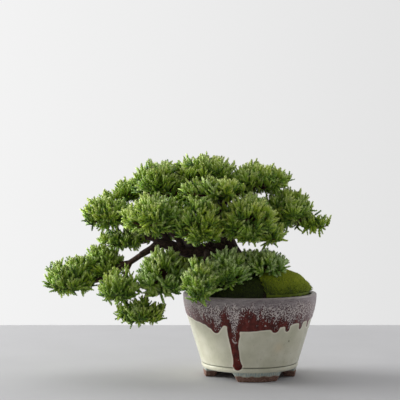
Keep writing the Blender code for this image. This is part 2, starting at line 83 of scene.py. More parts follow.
def wall_radius(z):
    """The pot's outside radius at a height, before the lines and the glaze are added."""
    upper = RIM - SHOULDER_IN * ((HEIGHT - z) / SHOULDER) ** 2
    share = (HEIGHT - SHOULDER - z) / (HEIGHT - SHOULDER - FOOT_TALL)
    lower = (RIM - SHOULDER_IN) * (1 - share) + FOOT_OUT * share
    return np.where(z >= HEIGHT - SHOULDER, upper, lower)


def soft_step(x):
    x = np.clip(x, 0, 1)
    return x * x * (3 - 2 * x)


def wander(points, size, seed=0):
    """Smooth random values from -1 to 1 over points, in lumps of about this size."""
    cell = np.asarray(points) / size
    low = np.floor(cell).astype(np.int64)
    part = soft_step(cell - low)
    total = np.zeros(cell.shape[:-1])
    for corner in np.ndindex(2, 2, 2):
        at = low + np.array(corner)
        mixed = at[..., 0] * 73856093 ^ at[..., 1] * 19349663 ^ at[..., 2] * 83492791 ^ seed * 374761393
        mixed = ((mixed ^ mixed >> 13) * 1274126177) & 0xFFFFFFFF
        value = ((mixed ^ mixed >> 16) & 0xFFFF) / 32767.5 - 1
        total += value * np.prod(np.where(corner, part, 1 - part), axis=-1)
    return total


def arc(centre, radius, first, last, count):
    """Points on an arc in (radius, height), angles in degrees from outwards, turning up."""
    turn = np.radians(np.linspace(first, last, count))
    return [(centre[0] + radius * math.cos(a), centre[1] + radius * math.sin(a)) for a in turn]


# The section goes from the lip down the outside, round the foot, up through the drain hole and the inside.
heights = np.concatenate(
    [
        np.linspace(HEIGHT - LIP_ROUND, 16 * MM, 84),
        np.linspace(15.6 * MM, 12.6 * MM, 15),
        np.linspace(12 * MM, FOOT_TALL, 7),
    ]
)
section = arc((RIM - LIP_ROUND, HEIGHT - LIP_ROUND), LIP_ROUND, 90, 15, 6)
section += [(float(wall_radius(z)), z) for z in heights]
OUTSIDE_ROWS = len(section)
foot_side = np.linspace(8.4, 1.2, FOOT_SIDE_ROWS) * MM
section += [(FOOT_OUT - FOOT_TAPER * (1 - z / FOOT_TALL), z) for z in foot_side]
section += arc((FOOT_OUT - FOOT_TAPER - 1.1 * MM, 1.1 * MM), 1.1 * MM, -15, -90, 4)
section += arc((FOOT_IN + FOOT_TAPER + 1.1 * MM, 1.1 * MM), 1.1 * MM, -90, -165, 4)
section += [(FOOT_IN + FOOT_TAPER * (1 - z / FOOT_TALL), z) for z in np.linspace(1.6, 8.4, 5) * MM]
FOOT_ROWS = len(section)
section += [(r, FLOOR[0]) for r in np.linspace(FOOT_IN - 0.6 * MM, DRAIN_HOLE + 1 * MM, 5)]
section += arc((DRAIN_HOLE + 0.8 * MM, FLOOR[0] + 0.8 * MM), 0.8 * MM, -90, -180, 3)
section += arc((DRAIN_HOLE + 0.8 * MM, FLOOR[1] - 0.8 * MM), 0.8 * MM, 180, 90, 3)
section += [(r, FLOOR[1]) for r in np.linspace(DRAIN_HOLE + 2 * MM, 38 * MM, 5)]
inside = np.linspace(FLOOR[1] + WALL, HEIGHT - LIP_ROUND, 22)
section += [(float(wall_radius(z)) - WALL, z) for z in inside]
section += arc((RIM - WALL + LIP_ROUND, HEIGHT - LIP_ROUND), LIP_ROUND, 165, 105, 4)
section = np.array(section)

# The run of iron glaze: (degrees from the front, height in mm) of its lower edge, without its drips. The
# far side, where no points are given, has a formula of its own.
RUN_EDGE = (
    (-90, 62), (-71.8, 60.3), (-55.2, 57.3), (-48, 55.6), (-42, 52.4), (-36, 51), (-31, 52), (-25.5, 56),
    (-19, 54.5), (-14, 52), (-9.6, 50.6), (-4, 50.6), (2.2, 51), (8.6, 51.8), (14.2, 52.2), (20, 53.5),
    (27, 54.4), (35, 55.6), (44, 56.8), (58, 57.6), (72, 58), (90, 59),
)  # fmt: skip
# Each drip: (degrees, height, half width in mm) from where it leaves the run to the middle of its tip.
# The first ran down to the bead and gathered there.
DRIPS = (
    (
        (-17.7, 52, 6.0), (-17.5, 46.5, 6.0), (-17.9, 41, 4.8), (-17.9, 36, 3.9), (-17.4, 31, 3.8),
        (-16.8, 23, 3.5), (-16.5, 19, 4.0), (-16.3, 16.6, 4.9),
    ),
    ((-35.5, 56, 5.4), (-35.5, 52.8, 5.0)),
    ((21.2, 54, 4.6), (21.4, 53.3, 4.2)),
    ((34.2, 56, 3.0), (34.4, 52.1, 2.7)),
    ((51.6, 57, 3.2), (51.8, 52.9, 2.7)),
    ((65.0, 58, 2.2), (65.2, 52.8, 1.7)),
    ((104, 60, 3.4), (104, 53, 3.0)),
    ((131, 60, 2.6), (132, 47, 2.8)),
    ((158, 58, 4.2), (158, 54, 3.8)),
    ((-163, 60, 3.0), (-162, 44, 2.9)),
    ((-128, 60, 4.5), (-128, 55, 4.0)),
    ((-104, 61, 2.4), (-104, 56, 2.0)),
)
# The veil of ash glaze over the iron one: (degrees, height in mm) where its last specks end.
VEIL_EDGE = (
    (-90, 60), (-60, 58), (-45, 57), (-38, 55), (-34, 46), (-30, 50), (-26, 61), (-21, 62), (-18, 44),
    (-16, 37), (-14, 45), (-11, 60), (-4, 62), (6, 61), (14, 57), (22, 53), (30, 54), (36, 51), (44, 55),
    (53, 52), (60, 55), (66, 52), (90, 58),
)  # fmt: skip


def edge_height(points, degrees, seed):
    """Height in mm of a glaze's edge round the pot: the given points in front, lobes of its own behind."""
    knots, tall = np.array(points, float).T
    i = np.clip(np.searchsorted(knots, degrees) - 1, 0, len(knots) - 2)
    share = soft_step((degrees - knots[i]) / (knots[i + 1] - knots[i]))
    front = tall[i] + (tall[i + 1] - tall[i]) * share
    turn = np.radians(degrees)
    ring = np.stack([np.cos(turn), np.sin(turn), np.zeros_like(turn)], -1)
    behind = 60 + 3 * wander(ring, 0.4, seed)
    return front + (behind - front) * soft_step((np.abs(degrees) - 84) / 10)


def distance_to_drip(drip, degrees, z):
    """How far outside a drip a place on the wall is, in mm; under 0 is inside it."""
    nearest = np.full(degrees.shape, 1e3)
    for (a0, z0, w0), (a1, z1, w1) in zip(drip, drip[1:]):
        reach = wall_radius((z0 + z1) / 2 * MM) / MM
        x = np.radians(degrees - a0) * reach
        run = np.radians(a1 - a0) * reach
        share = np.clip((x * run + (z - z0) * (z1 - z0)) / (run**2 + (z1 - z0) ** 2), 0, 1)
        gap = np.hypot(x - run * share, z - z0 - (z1 - z0) * share) - (w0 + (w1 - w0) * share)
        nearest = np.minimum(nearest, gap)
    return nearest


rows = len(section)
degrees = np.linspace(-180, 180, COLUMNS, endpoint=False)
radius = np.repeat(section[:, :1], COLUMNS, 1)
z = np.repeat(section[:, 1:], COLUMNS, 1)
around = np.repeat(degrees[None], rows, 0)
outside = np.repeat(np.arange(rows)[:, None] < OUTSIDE_ROWS, COLUMNS, 1)

# The foot ring is cut away between the feet, which leaves its sides sloping.
from_foot = np.full(COLUMNS, 360.0)
for angle in FOOT_ANGLES:
    from_foot = np.minimum(from_foot, np.abs((degrees - angle + 180) % 360 - 180))
cut_height = FOOT_TALL * 0.97 * soft_step((from_foot - FOOT_HALF[0]) / (FOOT_HALF[1] - FOOT_HALF[0]))
foot_rows = slice(OUTSIDE_ROWS, FOOT_ROWS)
z[foot_rows] = cut_height + z[foot_rows] * (1 - cut_height / FOOT_TALL)

# Raised bead and scratched line above the feet, a little uneven as a hand on the wheel leaves them.
turn = np.radians(around)
ring = np.stack([np.cos(turn), np.sin(turn), z / MM * 0.02], -1)
line = GROOVE + 0.25 * MM * wander(ring, 0.5, 3)
bead_share = np.clip((z - BEAD[0]) / (BEAD[1] - BEAD[0]), 0, 1)
radius += outside * BEAD_OUT * np.sin(math.pi * bead_share) ** 0.6
radius -= outside * 1.05 * MM * np.exp(-(((z - line) / (0.55 * MM)) ** 2))
radius += outside * 0.22 * MM * wander(ring, 0.7, 5) * soft_step((HEIGHT - z) / (10 * MM))

# Thickness of the run in mm: a film with a rolled edge, and a bead at the end of the drip.
FILM, ROLLED_EDGE, DRIP_END = 0.22, 0.16, 0.75
height_mm = z / MM
edge = edge_height(RUN_EDGE, around, 11)
slope = np.gradient(edge, axis=1) / (np.radians(360 / COLUMNS) * radius / MM)
run = (height_mm - edge) / np.sqrt(1 + slope**2)
MELT = 2.4  # mm over which a drip flows out of the run
for drip in DRIPS:
    inside_drip = -distance_to_drip(drip, around, height_mm)
    share = np.clip(0.5 + 0.5 * (inside_drip - run) / MELT, 0, 1)
    run = run + (inside_drip - run) * share + MELT * share * (1 - share)
row = np.arange(rows)[:, None]
run = np.where(outside, run, np.where(row < FOOT_ROWS, -10.0, 10.0))
film = FILM * soft_step(run / 1.1) + ROLLED_EDGE * np.exp(-(((run - 1.2) / 0.9) ** 2))
tip = DRIPS[0][-1]
bulb = np.hypot(np.radians(around - tip[0]) * FOOT_OUT / MM * 1.05, height_mm - tip[1] - 0.4)
film += DRIP_END * np.exp(-((bulb / 3.4) ** 2)) * (run > 0)
radius += outside * film * MM
veil = np.where(outside, height_mm - edge_height(VEIL_EDGE, around, 23), 20.0)

# A pale crescent painted on the first drip: a painted highlight where its edge catches the light.
GLINT_CRESCENT = ((-19.2, 43, 0.25), (-18.4, 40.4, 0.4), (-16.8, 39.3, 0.5), (-15.2, 39.9, 0.35))
hook = soft_step(0.6 - distance_to_drip(GLINT_CRESCENT, around, height_mm) / 0.8) * outside

# One pit where a grain popped, and a paler warm patch beside it.
PIT = (39.5, 39.6)
WARM_PATCH = (28.0, 34.0)
across = np.radians(around - PIT[0]) * radius / MM
pit = np.exp(-((across**2 + (height_mm - PIT[1]) ** 2) / 0.55)) * outside
radius -= 0.4 * MM * pit
across = np.radians(around - WARM_PATCH[0]) * radius / MM
blush = np.exp(-((across / 5.5) ** 2 + ((height_mm - WARM_PATCH[1]) / 5) ** 2)) * outside

# Bare clay: what stands on the shelf in the kiln is wiped clean, and so is the inside below the soil.
glaze_line = 5.6 + 0.6 * wander(ring * np.array([1, 1, 0]), 0.12, 31)
glaze_line += 2.2 * soft_step((np.abs(around) - 60) / 25)
bare = soft_step((glaze_line - height_mm) / 0.5 + 0.5)
bare = np.where(row < FOOT_ROWS, bare, height_mm < GLAZED_INSIDE)
pool = soft_step((10.0 - height_mm) / 1.4) * (1 - bare)
groove = outside * np.exp(-(((z - line) / (0.5 * MM)) ** 2))

# Painted light: the glaze is painted paler towards the pot's two sides, for the light that they catch from
# the lamps.
sides = outside * soft_step((np.abs(around) - 30) / 45)

pot_points = np.stack([AXIS[0] + radius * np.sin(turn), AXIS[1] - radius * np.cos(turn), z], -1)


def ring_triangles(rings, count, closed_lengthways=False):
    """Two triangles for each cell of a grid of rings, facing out if the rings turn left along the path."""
    i, j = np.meshgrid(np.arange(rings - (not closed_lengthways)), np.arange(count), indexing="ij")
    a = i * count + j
    b = i * count + (j + 1) % count
    c = (i + 1) % rings * count + (j + 1) % count
    d = (i + 1) % rings * count + j
    return np.stack([a, b, c, a, c, d], -1).reshape(-1, 3)


def shown(name, points, triangles, material, values=(), corner_map=None):
    """A smooth-shaded mesh from arrays. The values become point attributes that its material reads."""
    mesh = bpy.data.meshes.new(name)
    points = np.asarray(points, np.float32).reshape(-1, 3)
    triangles = np.asarray(triangles, np.int32)
    mesh.vertices.add(len(points))
    mesh.vertices.foreach_set("co", points.ravel())
    mesh.loops.add(triangles.size)
    mesh.loops.foreach_set("vertex_index", triangles.ravel())
    mesh.polygons.add(len(triangles))
    mesh.polygons.foreach_set("loop_start", np.arange(0, triangles.size, 3, dtype=np.int32))
    mesh.polygons.foreach_set("use_smooth", np.ones(len(triangles), bool))
    mesh.update(calc_edges=True)
    for key, value in dict(values).items():
        attribute = mesh.attributes.new(key, "FLOAT", "POINT")
        attribute.data.foreach_set("value", np.ravel(value).astype(np.float32))
    if corner_map is not None:
        corner_map = np.asarray(corner_map, np.float32).ravel()
        mesh.uv_layers.new(name="OFBake").uv.foreach_set("vector", corner_map)
    mesh.materials.append(material)
    made = bpy.data.objects.new(name, mesh)
    bpy.context.scene.collection.objects.link(made)
    return made


def linear(colour):
    """A colour given as sRGB hex, as the linear values that a socket takes."""
    parts = [int(colour[i : i + 2], 16) / 255 for i in (0, 2, 4)]
    return (*[c / 12.92 if c <= 0.04045 else ((c + 0.055) / 1.055) ** 2.4 for c in parts], 1.0)


def finish_named(name):
    """An empty node material with its Principled shader already wired to the output."""
    made = bpy.data.materials.new(name)
    made.use_nodes = True
    return made


def add(finish, kind, settings=(), links=(), out=None):
    """Adds a node and gives back its named output, or the first one in use.

    Settings are its properties or the values of its inputs, and links feed its inputs. A string of six hex
    digits is a colour, and "stops" fills a colour ramp.
    """
    tree = finish.node_tree
    made = tree.nodes["Principled BSDF"] if kind == "Principled" else tree.nodes.new("ShaderNode" + kind)
    for key, value in dict(settings).items():
        if key == "stops":
            ramp = made.color_ramp.elements
            while len(ramp) < len(value):
                ramp.new(0.5)
            for stop, (place, colour) in zip(ramp, value):
                stop.position = place
                stop.color = linear(colour)
        elif isinstance(key, int) or key in made.inputs:
            made.inputs[key].default_value = linear(value) if isinstance(value, str) else value
        else:
            setattr(made, key, value)
    for key, source in dict(links).items():
        tree.links.new(source, made.inputs[key])
    return made.outputs[out] if out else next(output for output in made.outputs if output.enabled)


# Glazed stoneware: glass over clay, so a sharp highlight over colour that pools and breaks.
glaze = finish_named("glazed stoneware, celadon under iron red and ash")
glaze_place = add(glaze, "TexCoord", out="Object")
run_edge, veil_edge, below_lip, clay_mask, pool_mask = (
    add(glaze, "Attribute", {"attribute_name": name}, out="Fac")
    for name in ("run", "veil", "below_lip", "bare", "pool")
)
pit_mask, warm_patch_mask, groove_mask, painted_glint_mask, painted_side_light_mask = (
    add(glaze, "Attribute", {"attribute_name": name}, out="Fac")
    for name in ("pit", "blush", "groove", "hook", "sides")
)


def blotches(width, height, detail=2.0):
    """Cloudy spots in the glaze, about this wide and high, with values from 0 to 1."""
    shrink = {"Scale": (1 / width, 1 / width, 1 / height)}
    place = add(glaze, "Mapping", shrink, {"Vector": glaze_place})
    return add(glaze, "TexNoise", {"Scale": 1.0, "Detail": detail}, {"Vector": place})


def coated(ground, coats):
    """Lays coats over a colour in turn.

    Each has a mask, the two values of the mask that it goes between, how much of it there is at each, and
    its colour.
    """
    for mask, (first, last), (least, most), colour in coats:
        ends = {"From Min": first, "From Max": last, "To Min": least, "To Max": most}
        cover = add(glaze, "MapRange", ends, {"Value": mask})
        ground = add(glaze, "Mix", {"data_type": "RGBA", 7: colour}, {0: cover, 6: ground})
    return ground


# Celadon: cream where thin, greyer green where it pooled, in clouds of about 15 mm. Over it come a paler
# warm patch, streaks down the wall, iron freckles, dark glaze in the scratched line and a pale halo at the
# run.
clouds = add(glaze, "TexNoise", {"Scale": 1 / (15 * MM), "Detail": 3.0}, {"Vector": glaze_place})
celadon_tones = ((0.3, "c4c3ab"), (0.5, "d0ceb8"), (0.72, "dbd9c6"))
celadon = coated(
    add(glaze, "ValToRGB", {"stops": celadon_tones}, {"Fac": clouds}),
    (
        (warm_patch_mask, (0, 1), (0, 0.6), "dccfb0"),
        (blotches(1.5 * MM, 30 * MM), (0.55, 0.75), (0, 0.3), "b3b29b"),
        (blotches(1.5 * MM, 1.5 * MM, 0.0), (0.8, 0.86), (0, 0.4), "7a6a50"),
        (groove_mask, (0.15, 0.9), (0, 0.9), "5c6152"),
        (run_edge, (-1.9, -0.3), (0, 0.8), "ebe6d3"),
    ),
)
pooled = coated(celadon, [(blotches(1.1 * MM, 6 * MM), (0.36, 0.6), (0.35, 1.0), "8c9c9b")])
celadon = add(glaze, "Mix", {"data_type": "RGBA"}, {0: pool_mask, 6: celadon, 7: pooled})

# Iron red, darkest where thick, and duller under the veil of ash, whose edge is ragged.
iron_tones = ((0.35, "3e0f08"), (0.55, "5a190f"), (0.72, "722d26"))
iron = add(glaze, "ValToRGB", {"stops": iron_tones}, {"Fac": blotches(4 * MM, 7 * MM, 4.0)})
rags = {"From Min": 0.3, "From Max": 0.7, "To Min": -5, "To Max": 5}
veil_rags = add(glaze, "MapRange", rags, {"Value": blotches(5 * MM, 9 * MM)})
ragged_veil = add(glaze, "Math", {"operation": "ADD"}, {0: veil_edge, 1: veil_rags})
veiled = add(glaze, "MapRange", {"From Min": -3.0, "From Max": 13.0}, {"Value": ragged_veil})
iron = coated(iron, [(veiled, (0.35, 1.0), (0, 0.85), "4f3c42")])

# The ash broke up into pale lace round spots of iron 1.15 mm wide, which close as the veil gets thicker.
lace_size = {"Scale": (1 / (1.15 * MM), 1 / (1.15 * MM), 1 / (1.5 * MM))}
lace_place = add(glaze, "Mapping", lace_size, {"Vector": glaze_place})
lace = add(glaze, "TexVoronoi", {"Scale": 1.0}, {"Vector": lace_place})
spot_size = add(glaze, "MapRange", {"To Min": 0.88, "To Max": 0.42}, {"Value": veiled})
lace_over = add(glaze, "Math", {"operation": "SUBTRACT"}, {0: lace, 1: spot_size})
speck_mask = add(glaze, "MapRange", {"From Max": 0.16}, {"Value": lace_over})
specked = coated(
    iron,
    (
        (speck_mask, (0, 1), (0, 1), "c4bbb6"),
        # the painted highlight on the first drip
        (painted_glint_mask, (0, 1), (0, 1), "cdc3bf"),
        # painted light, paler towards the pot's sides
        (painted_side_light_mask, (0, 1), (0, 0.3), "b79fa1"),
    ),
)

# Below the lip it lies in a closed lavender band with purple streaks, and is paler on the lip itself, partly
# thin glaze there and partly a painted highlight.
rags = {"From Min": 0.3, "From Max": 0.7, "To Min": -4.5, "To Max": 4.5}
band_rags = add(glaze, "MapRange", rags, {"Value": blotches(6 * MM, 9 * MM)})
band = add(glaze, "Math", {"operation": "SUBTRACT"}, {0: below_lip, 1: band_rags})
band_ends = {"From Min": 5.5, "From Max": 11.0, "To Min": 0.92, "To Max": 0}
band_mask = add(glaze, "MapRange", band_ends, {"Value": band})
lavender_tones = ((0.35, "7d7476"), (0.6, "958d8c"))
lavender = coated(
    add(glaze, "ValToRGB", {"stops": lavender_tones}, {"Fac": blotches(7 * MM, 2 * MM, 3.0)}),
    (
        (blotches(9 * MM, 1.1 * MM, 3.0), (0.52, 0.66), (0, 0.7), "625059"),
        # painted light, paler towards the pot's sides
        (painted_side_light_mask, (0, 1), (0, 0.55), "b9abad"),
        # the lip's edge: partly thin glaze, partly a painted highlight
        (below_lip, (0.0, 2.0), (0.7, 0.0), "b3aca4"),
    ),
)
iron = add(glaze, "Mix", {"data_type": "RGBA"}, {0: band_mask, 6: specked, 7: lavender})
run_mask = add(glaze, "MapRange", {"From Min": -0.15, "From Max": 0.25}, {"Value": run_edge})
glazed = add(glaze, "Mix", {"data_type": "RGBA"}, {0: run_mask, 6: celadon, 7: iron})
glazed = coated(glazed, [(pit_mask, (0, 1), (0, 1), "3a3326")])

# Bare fired clay: brown, gritty and dull.
grog = add(glaze, "TexNoise", {"Scale": 1 / (1.6 * MM), "Detail": 4.0}, {"Vector": glaze_place})
clay_tones = ((0.3, "5d4338"), (0.55, "7d6053"), (0.75, "94786a"))
clay = add(glaze, "ValToRGB", {"stops": clay_tones}, {"Fac": grog})
pot_colour = add(glaze, "Mix", {"data_type": "RGBA"}, {0: clay_mask, 6: glazed, 7: clay})

# The glaze is a little orange-peeled and softly glossy, the lace stands proud of it, and the clay is rough.
gloss = add(glaze, "MapRange", {"To Min": 0.27, "To Max": 0.85}, {"Value": clay_mask})
peel = add(glaze, "TexNoise", {"Scale": 1 / (4 * MM), "Detail": 2.0}, {"Vector": glaze_place})
relief = add(glaze, "Mix", {}, {0: clay_mask, 2: peel, 3: grog})
relief = add(glaze, "Math", {"operation": "MULTIPLY_ADD", 1: 0.35}, {0: speck_mask, 2: relief})
peel_bump = add(glaze, "Bump", {"Strength": 0.35, "Distance": 0.25 * MM}, {"Height": relief})
add(
    glaze,
    "Principled",
    {"IOR": 1.5, "Specular IOR Level": 0.3},
    {"Base Color": pot_colour, "Roughness": gloss, "Normal": peel_bump},
)

# The map for baking: the wall's front half over its back half, and the rest in a strip above.
grid = ring_triangles(rows, COLUMNS, closed_lengthways=True)
cell = np.arange(rows * COLUMNS)
corner_rows = np.stack([cell // COLUMNS] * 6, -1) + np.array([0, 0, 1, 0, 1, 1])
corner_columns = np.stack([cell % COLUMNS] * 6, -1) + np.array([0, 1, 1, 0, 1, 0])
half = COLUMNS // 2
back = (cell % COLUMNS >= half)[:, None]
wall_rows = OUTSIDE_ROWS + FOOT_SIDE_ROWS
on_wall = (cell // COLUMNS < wall_rows)[:, None]
down_wall = corner_rows / wall_rows
down_rest = (corner_rows - wall_rows) / (rows - wall_rows)
along_wall = (corner_columns - half * back) / half
pot_map_u = np.where(on_wall, 0.004 + 0.992 * along_wall, 0.004 + 0.992 * corner_columns / COLUMNS)
pot_map_v = np.where(on_wall, 0.004 + 0.412 * back + 0.4 * down_wall, 0.834 + 0.16 * down_rest)
pot = shown(
    "pot_glazed",
    pot_points,
    grid,
    glaze,
    dict(run=run, veil=veil, below_lip=(HEIGHT - z) / MM, bare=bare, pool=pool)
    | dict(pit=pit, blush=blush, groove=groove, hook=hook, sides=sides),
    np.stack([pot_map_u, pot_map_v], -1),
)
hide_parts("pot")
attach(pot, "root")

# ------------------------------------------------------------------------------------- what fills the pot
# Over the drain hole lies a square of moulded plastic mesh, then a layer of lava grit, then the soil in
# which the tree is rooted: fired clay granules gone dark with peat and water.

# Polypropylene: a dull sheen under the dust that washes down.
netting = finish_named("moulded polypropylene netting")
netting_place = add(netting, "TexCoord", out="Object")
dust = add(netting, "TexNoise", {"Scale": 1 / (3 * MM), "Detail": 3.0}, {"Vector": netting_place})
dusty = add(netting, "ValToRGB", {"stops": ((0.4, "1c1b1a"), (0.7, "3a352f"))}, {"Fac": dust})
add(netting, "Principled", {"Roughness": 0.5, "IOR": 1.49}, {"Base Color": dusty})


def crumbly(name, across, relief, grain, detail, tones):
    """Matt lumps packed together, of one size across and another in relief, each with a finer grain."""
    made = finish_named(name)
    place = add(made, "TexCoord", out="Object")
    lumps = add(made, "TexVoronoi", {"Scale": 1 / across}, {"Vector": place})
    grains = add(made, "TexNoise", {"Scale": 1 / grain, "Detail": detail}, {"Vector": place})
    colour = add(made, "ValToRGB", {"stops": tones}, {"Fac": grains})
    bump = add(made, "Bump", {"Strength": 1.0, "Distance": relief}, {"Height": lumps})
    add(made, "Principled", {"Roughness": 0.95}, {"Base Color": colour, "Normal": bump})
    return made


# Lava rock is broken and full of pores, brown on its faces. Damp soil is small crumbs, nearly black.
lava_tones = ((0.2, "2a1c18"), (0.6, "5a3a30"), (1.0, "7d5546"))
earth_tones = ((0.35, "15100b"), (0.55, "2c2118"), (0.75, "4a392a"))
lava = crumbly("crushed lava rock", 4 * MM, 1.2 * MM, 0.8 * MM, 4.0, lava_tones)
earth = crumbly("damp potting soil", 2.2 * MM, 0.9 * MM, 1.1 * MM, 5.0, earth_tones)
for node, finish, slot in (
    ("drain_screen", netting, "screen_plastic"),
    ("drainage_grit", lava, "lava_grit"),
    ("soil", earth, "rootball_soil"),
):
    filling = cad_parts[node]
    filling.data.materials.clear()
    filling.data.materials.append(finish)


def solid_of(names):
    """One search tree over several CAD nodes."""
    points, faces = [], []
    for name in names:
        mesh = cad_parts[name].data
        first = len(points)
        points += [v.co.copy() for v in mesh.vertices]
        faces += [[first + i for i in p.vertices] for p in mesh.polygons]
    return BVHTree.FromPolygons(points, faces)


def unit(rows):
    """Each row at length 1."""
    return rows / np.linalg.norm(rows, axis=1, keepdims=True)


def placed(shape, origins, axes, sizes, spins):
    """Copies of one small shape, given along +Z: (copies, vertices, 3)."""
    axes = unit(axes)
    flat = np.where(np.abs(axes[:, 2:]) < 0.9, np.array([[0, 0, 1.0]]), np.array([[1.0, 0, 0]]))
    side = unit(np.cross(flat, axes))
    front = np.cross(axes, side)
    turned_side = side * np.cos(spins)[:, None] + front * np.sin(spins)[:, None]
    turned_front = np.cross(axes, turned_side)
    base = np.stack([turned_side, turned_front, axes], 1)
    return origins[:, None] + np.einsum("vk,nkc->nvc", shape, base) * sizes[:, None, None]


def many(triangles, copies, count):
    """The triangles of one shape, repeated for each copy."""
    return (triangles[None] + (np.arange(copies) * count)[:, None, None]).reshape(-1, 3)


# Loose granules lie on the soil where no moss grew, 1 to 2.6 mm across, each a broken lump.
golden = (1 + math.sqrt(5)) / 2
lump = np.array([(0, a, b) for a in (-1, 1) for b in (-golden, golden)], float)
lump = np.concatenate([lump, lump[:, [1, 2, 0]], lump[:, [2, 0, 1]]]) / math.hypot(1, golden)
lump_faces = []
for i in range(12):
    near = [j for j in range(12) if 0 < np.linalg.norm(lump[i] - lump[j]) < 1.1]
    lump_faces += [
        (i, j, k) if np.dot(np.cross(lump[j] - lump[i], lump[k] - lump[i]), lump[i]) > 0 else (i, k, j)
        for j in near
        for k in near
        if i < j < k and np.linalg.norm(lump[j] - lump[k]) < 1.1
    ]
lump_faces = np.array(lump_faces)
soil_top = solid_of(["soil"])
moss_names = sorted(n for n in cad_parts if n.startswith("moss_"))
moss_top = solid_of(moss_names)
GRANULES_STREWN = 9000  # those that fall on moss or past the soil are left out
GRANULE_RADIUS = (0.5 * MM, 1.3 * MM)
SOIL_REACH = 61 * MM
granules = []
for _ in range(GRANULES_STREWN):
    reach = SOIL_REACH * math.sqrt(rng.random())
    angle = rng.random() * math.tau
    start = Vector((AXIS[0] + reach * math.sin(angle), AXIS[1] - reach * math.cos(angle), HEIGHT * 2))
    under_moss = moss_top.ray_cast(start, Vector((0, 0, -1)))[0]
    hit = soil_top.ray_cast(start, Vector((0, 0, -1)))[0]
    if hit is None or under_moss is not None:
        continue
    granules.append(hit)
granules = np.array(granules)
count = len(granules)
sizes = rng.uniform(*GRANULE_RADIUS, count)
granule_points = placed(lump, granules, rng.normal(size=(count, 3)), sizes, rng.uniform(0, math.tau, count))
granule_points += rng.normal(size=granule_points.shape) * sizes[:, None, None] * 0.16
granule_tone = np.repeat(np.clip(rng.normal(0.4, 0.2, count), 0.03, 0.97), 12)
granule_hue = np.clip(np.repeat(rng.random(count), 12) + rng.normal(size=count * 12) * 0.02, 0.02, 0.98)
granule_tone = np.clip(granule_tone + rng.normal(size=count * 12) * 0.03, 0.02, 0.98)


def leafy_finish(name, dark_to_light, cooler, roughness, bump_size):
    """Colour by growth: along a ramp from shaded to fresh, between a warmer and a cooler set of tones."""
    made = finish_named(name)
    tone = add(made, "Attribute", {"attribute_name": "tone"}, out="Fac")
    hue = add(made, "Attribute", {"attribute_name": "hue"}, out="Fac")
    warm = add(made, "ValToRGB", {"stops": dark_to_light}, {"Fac": tone})
    cool = add(made, "ValToRGB", {"stops": cooler}, {"Fac": tone})
    colour = add(made, "Mix", {"data_type": "RGBA"}, {0: hue, 6: cool, 7: warm})
    where = add(made, "TexCoord", out="Object")
    grain = add(made, "TexNoise", {"Scale": 1 / bump_size, "Detail": 2.0}, {"Vector": where})
    bump = add(made, "Bump", {"Strength": 0.25, "Distance": bump_size * 0.3}, {"Height": grain})
    add(made, "Principled", {"Roughness": roughness}, {"Base Color": colour, "Normal": bump})
    return made


# Fired clay: matt brown lumps with worn corners, darker where peat sticks to them.
granule_stuff = leafy_finish(
    "fired clay granules, dark with peat",
    ((0.0, "120d09"), (0.5, "37291c"), (1.0, "6b5238")),
    ((0.0, "0e0c0a"), (0.5, "2a241f"), (1.0, "57504a")),
    0.9,
    0.6 * MM,
)


def toned(name, points, triangles, material, tone, hue):
    """A piece with a tone and a hue at each vertex, and a map for baking on which a vertex lies by them."""
    tone, hue = np.ravel(tone), np.ravel(hue)
    places = 0.02 + 0.96 * np.stack([tone, hue], -1)
    return shown(name, points, triangles, material, {"tone": tone, "hue": hue}, places[triangles.ravel()])


granule_triangles = many(lump_faces, count, 12)
granule_piece = toned(
    "soil_granules", granule_points, granule_triangles, granule_stuff, granule_tone, granule_hue
)
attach(granule_piece, "root")

# ------------------------------------------------------------------------------------------------ the moss
# Cushions of living moss pressed on the soil, thick and bright on the open right side, thin in the shade of
# the tree, where their colour is painted dark as that shade. Each is a lumpy mat set all over with short
# upright leaves.

MOSS_LEAF = (1.5 * MM, 2.9 * MM)  # shortest and longest
MOSS_PER_MM2 = 2.6
# The tone of each patch, painted darker on the front and left ones for the tree's shade over them, and how
# lumpy it is in mm.
MOSS_LOOK = {
    "moss_cushion_right": (1.1, 2.2),
    "moss_patch_front": (0.27, 0.9),
    "moss_patch_left": (0.25, 0.9),
    "moss_patch_back": (0.5, 1.1),
}
# Moss: a velvet of leaves without a shine, yellow green at the tips and darker between them.
moss_stuff = leafy_finish(
    "living moss",
    ((0.0, "141a04"), (0.3, "4c5c08"), (0.62, "9aab12"), (0.85, "c9d022"), (1.0, "dedb4c")),
    ((0.0, "10160a"), (0.3, "3a4e0c"), (0.62, "7b951b"), (0.85, "a9bb30"), (1.0, "c4cc52")),
    0.75,
    0.5 * MM,
)
spike = np.array([(0.16, 0, 0), (-0.08, 0.14, 0), (-0.08, -0.14, 0), (0, 0, 1.0)])
spike_faces = np.array([(0, 1, 3), (1, 2, 3), (2, 0, 3)])


def remeshed(source, voxel):
    """A CAD node's shape as an even, rounded skin: (points, triangles, normals)."""
    copy = bpy.data.objects.new("remesh_helper", source.data.copy())
    bpy.context.scene.collection.objects.link(copy)
    even = copy.modifiers.new("even", "REMESH")
    even.mode = "VOXEL"
    even.voxel_size = voxel
    relax = copy.modifiers.new("relax", "SMOOTH")
    relax.iterations = 6
    graph = bpy.context.evaluated_depsgraph_get()
    mesh = copy.evaluated_get(graph).to_mesh()
    mesh.calc_loop_triangles()
    points = np.empty((len(mesh.vertices), 3), np.float32)
    mesh.vertices.foreach_get("co", points.ravel())
    normals = np.empty((len(mesh.vertices), 3), np.float32)
    mesh.vertex_normals.foreach_get("vector", normals.ravel())
    triangles = np.empty((len(mesh.loop_triangles), 3), np.int32)
    mesh.loop_triangles.foreach_get("vertices", triangles.ravel())
    helper_mesh = copy.data
    bpy.data.objects.remove(copy)
    bpy.data.meshes.remove(helper_mesh)
    return points.astype(float), triangles, normals.astype(float)


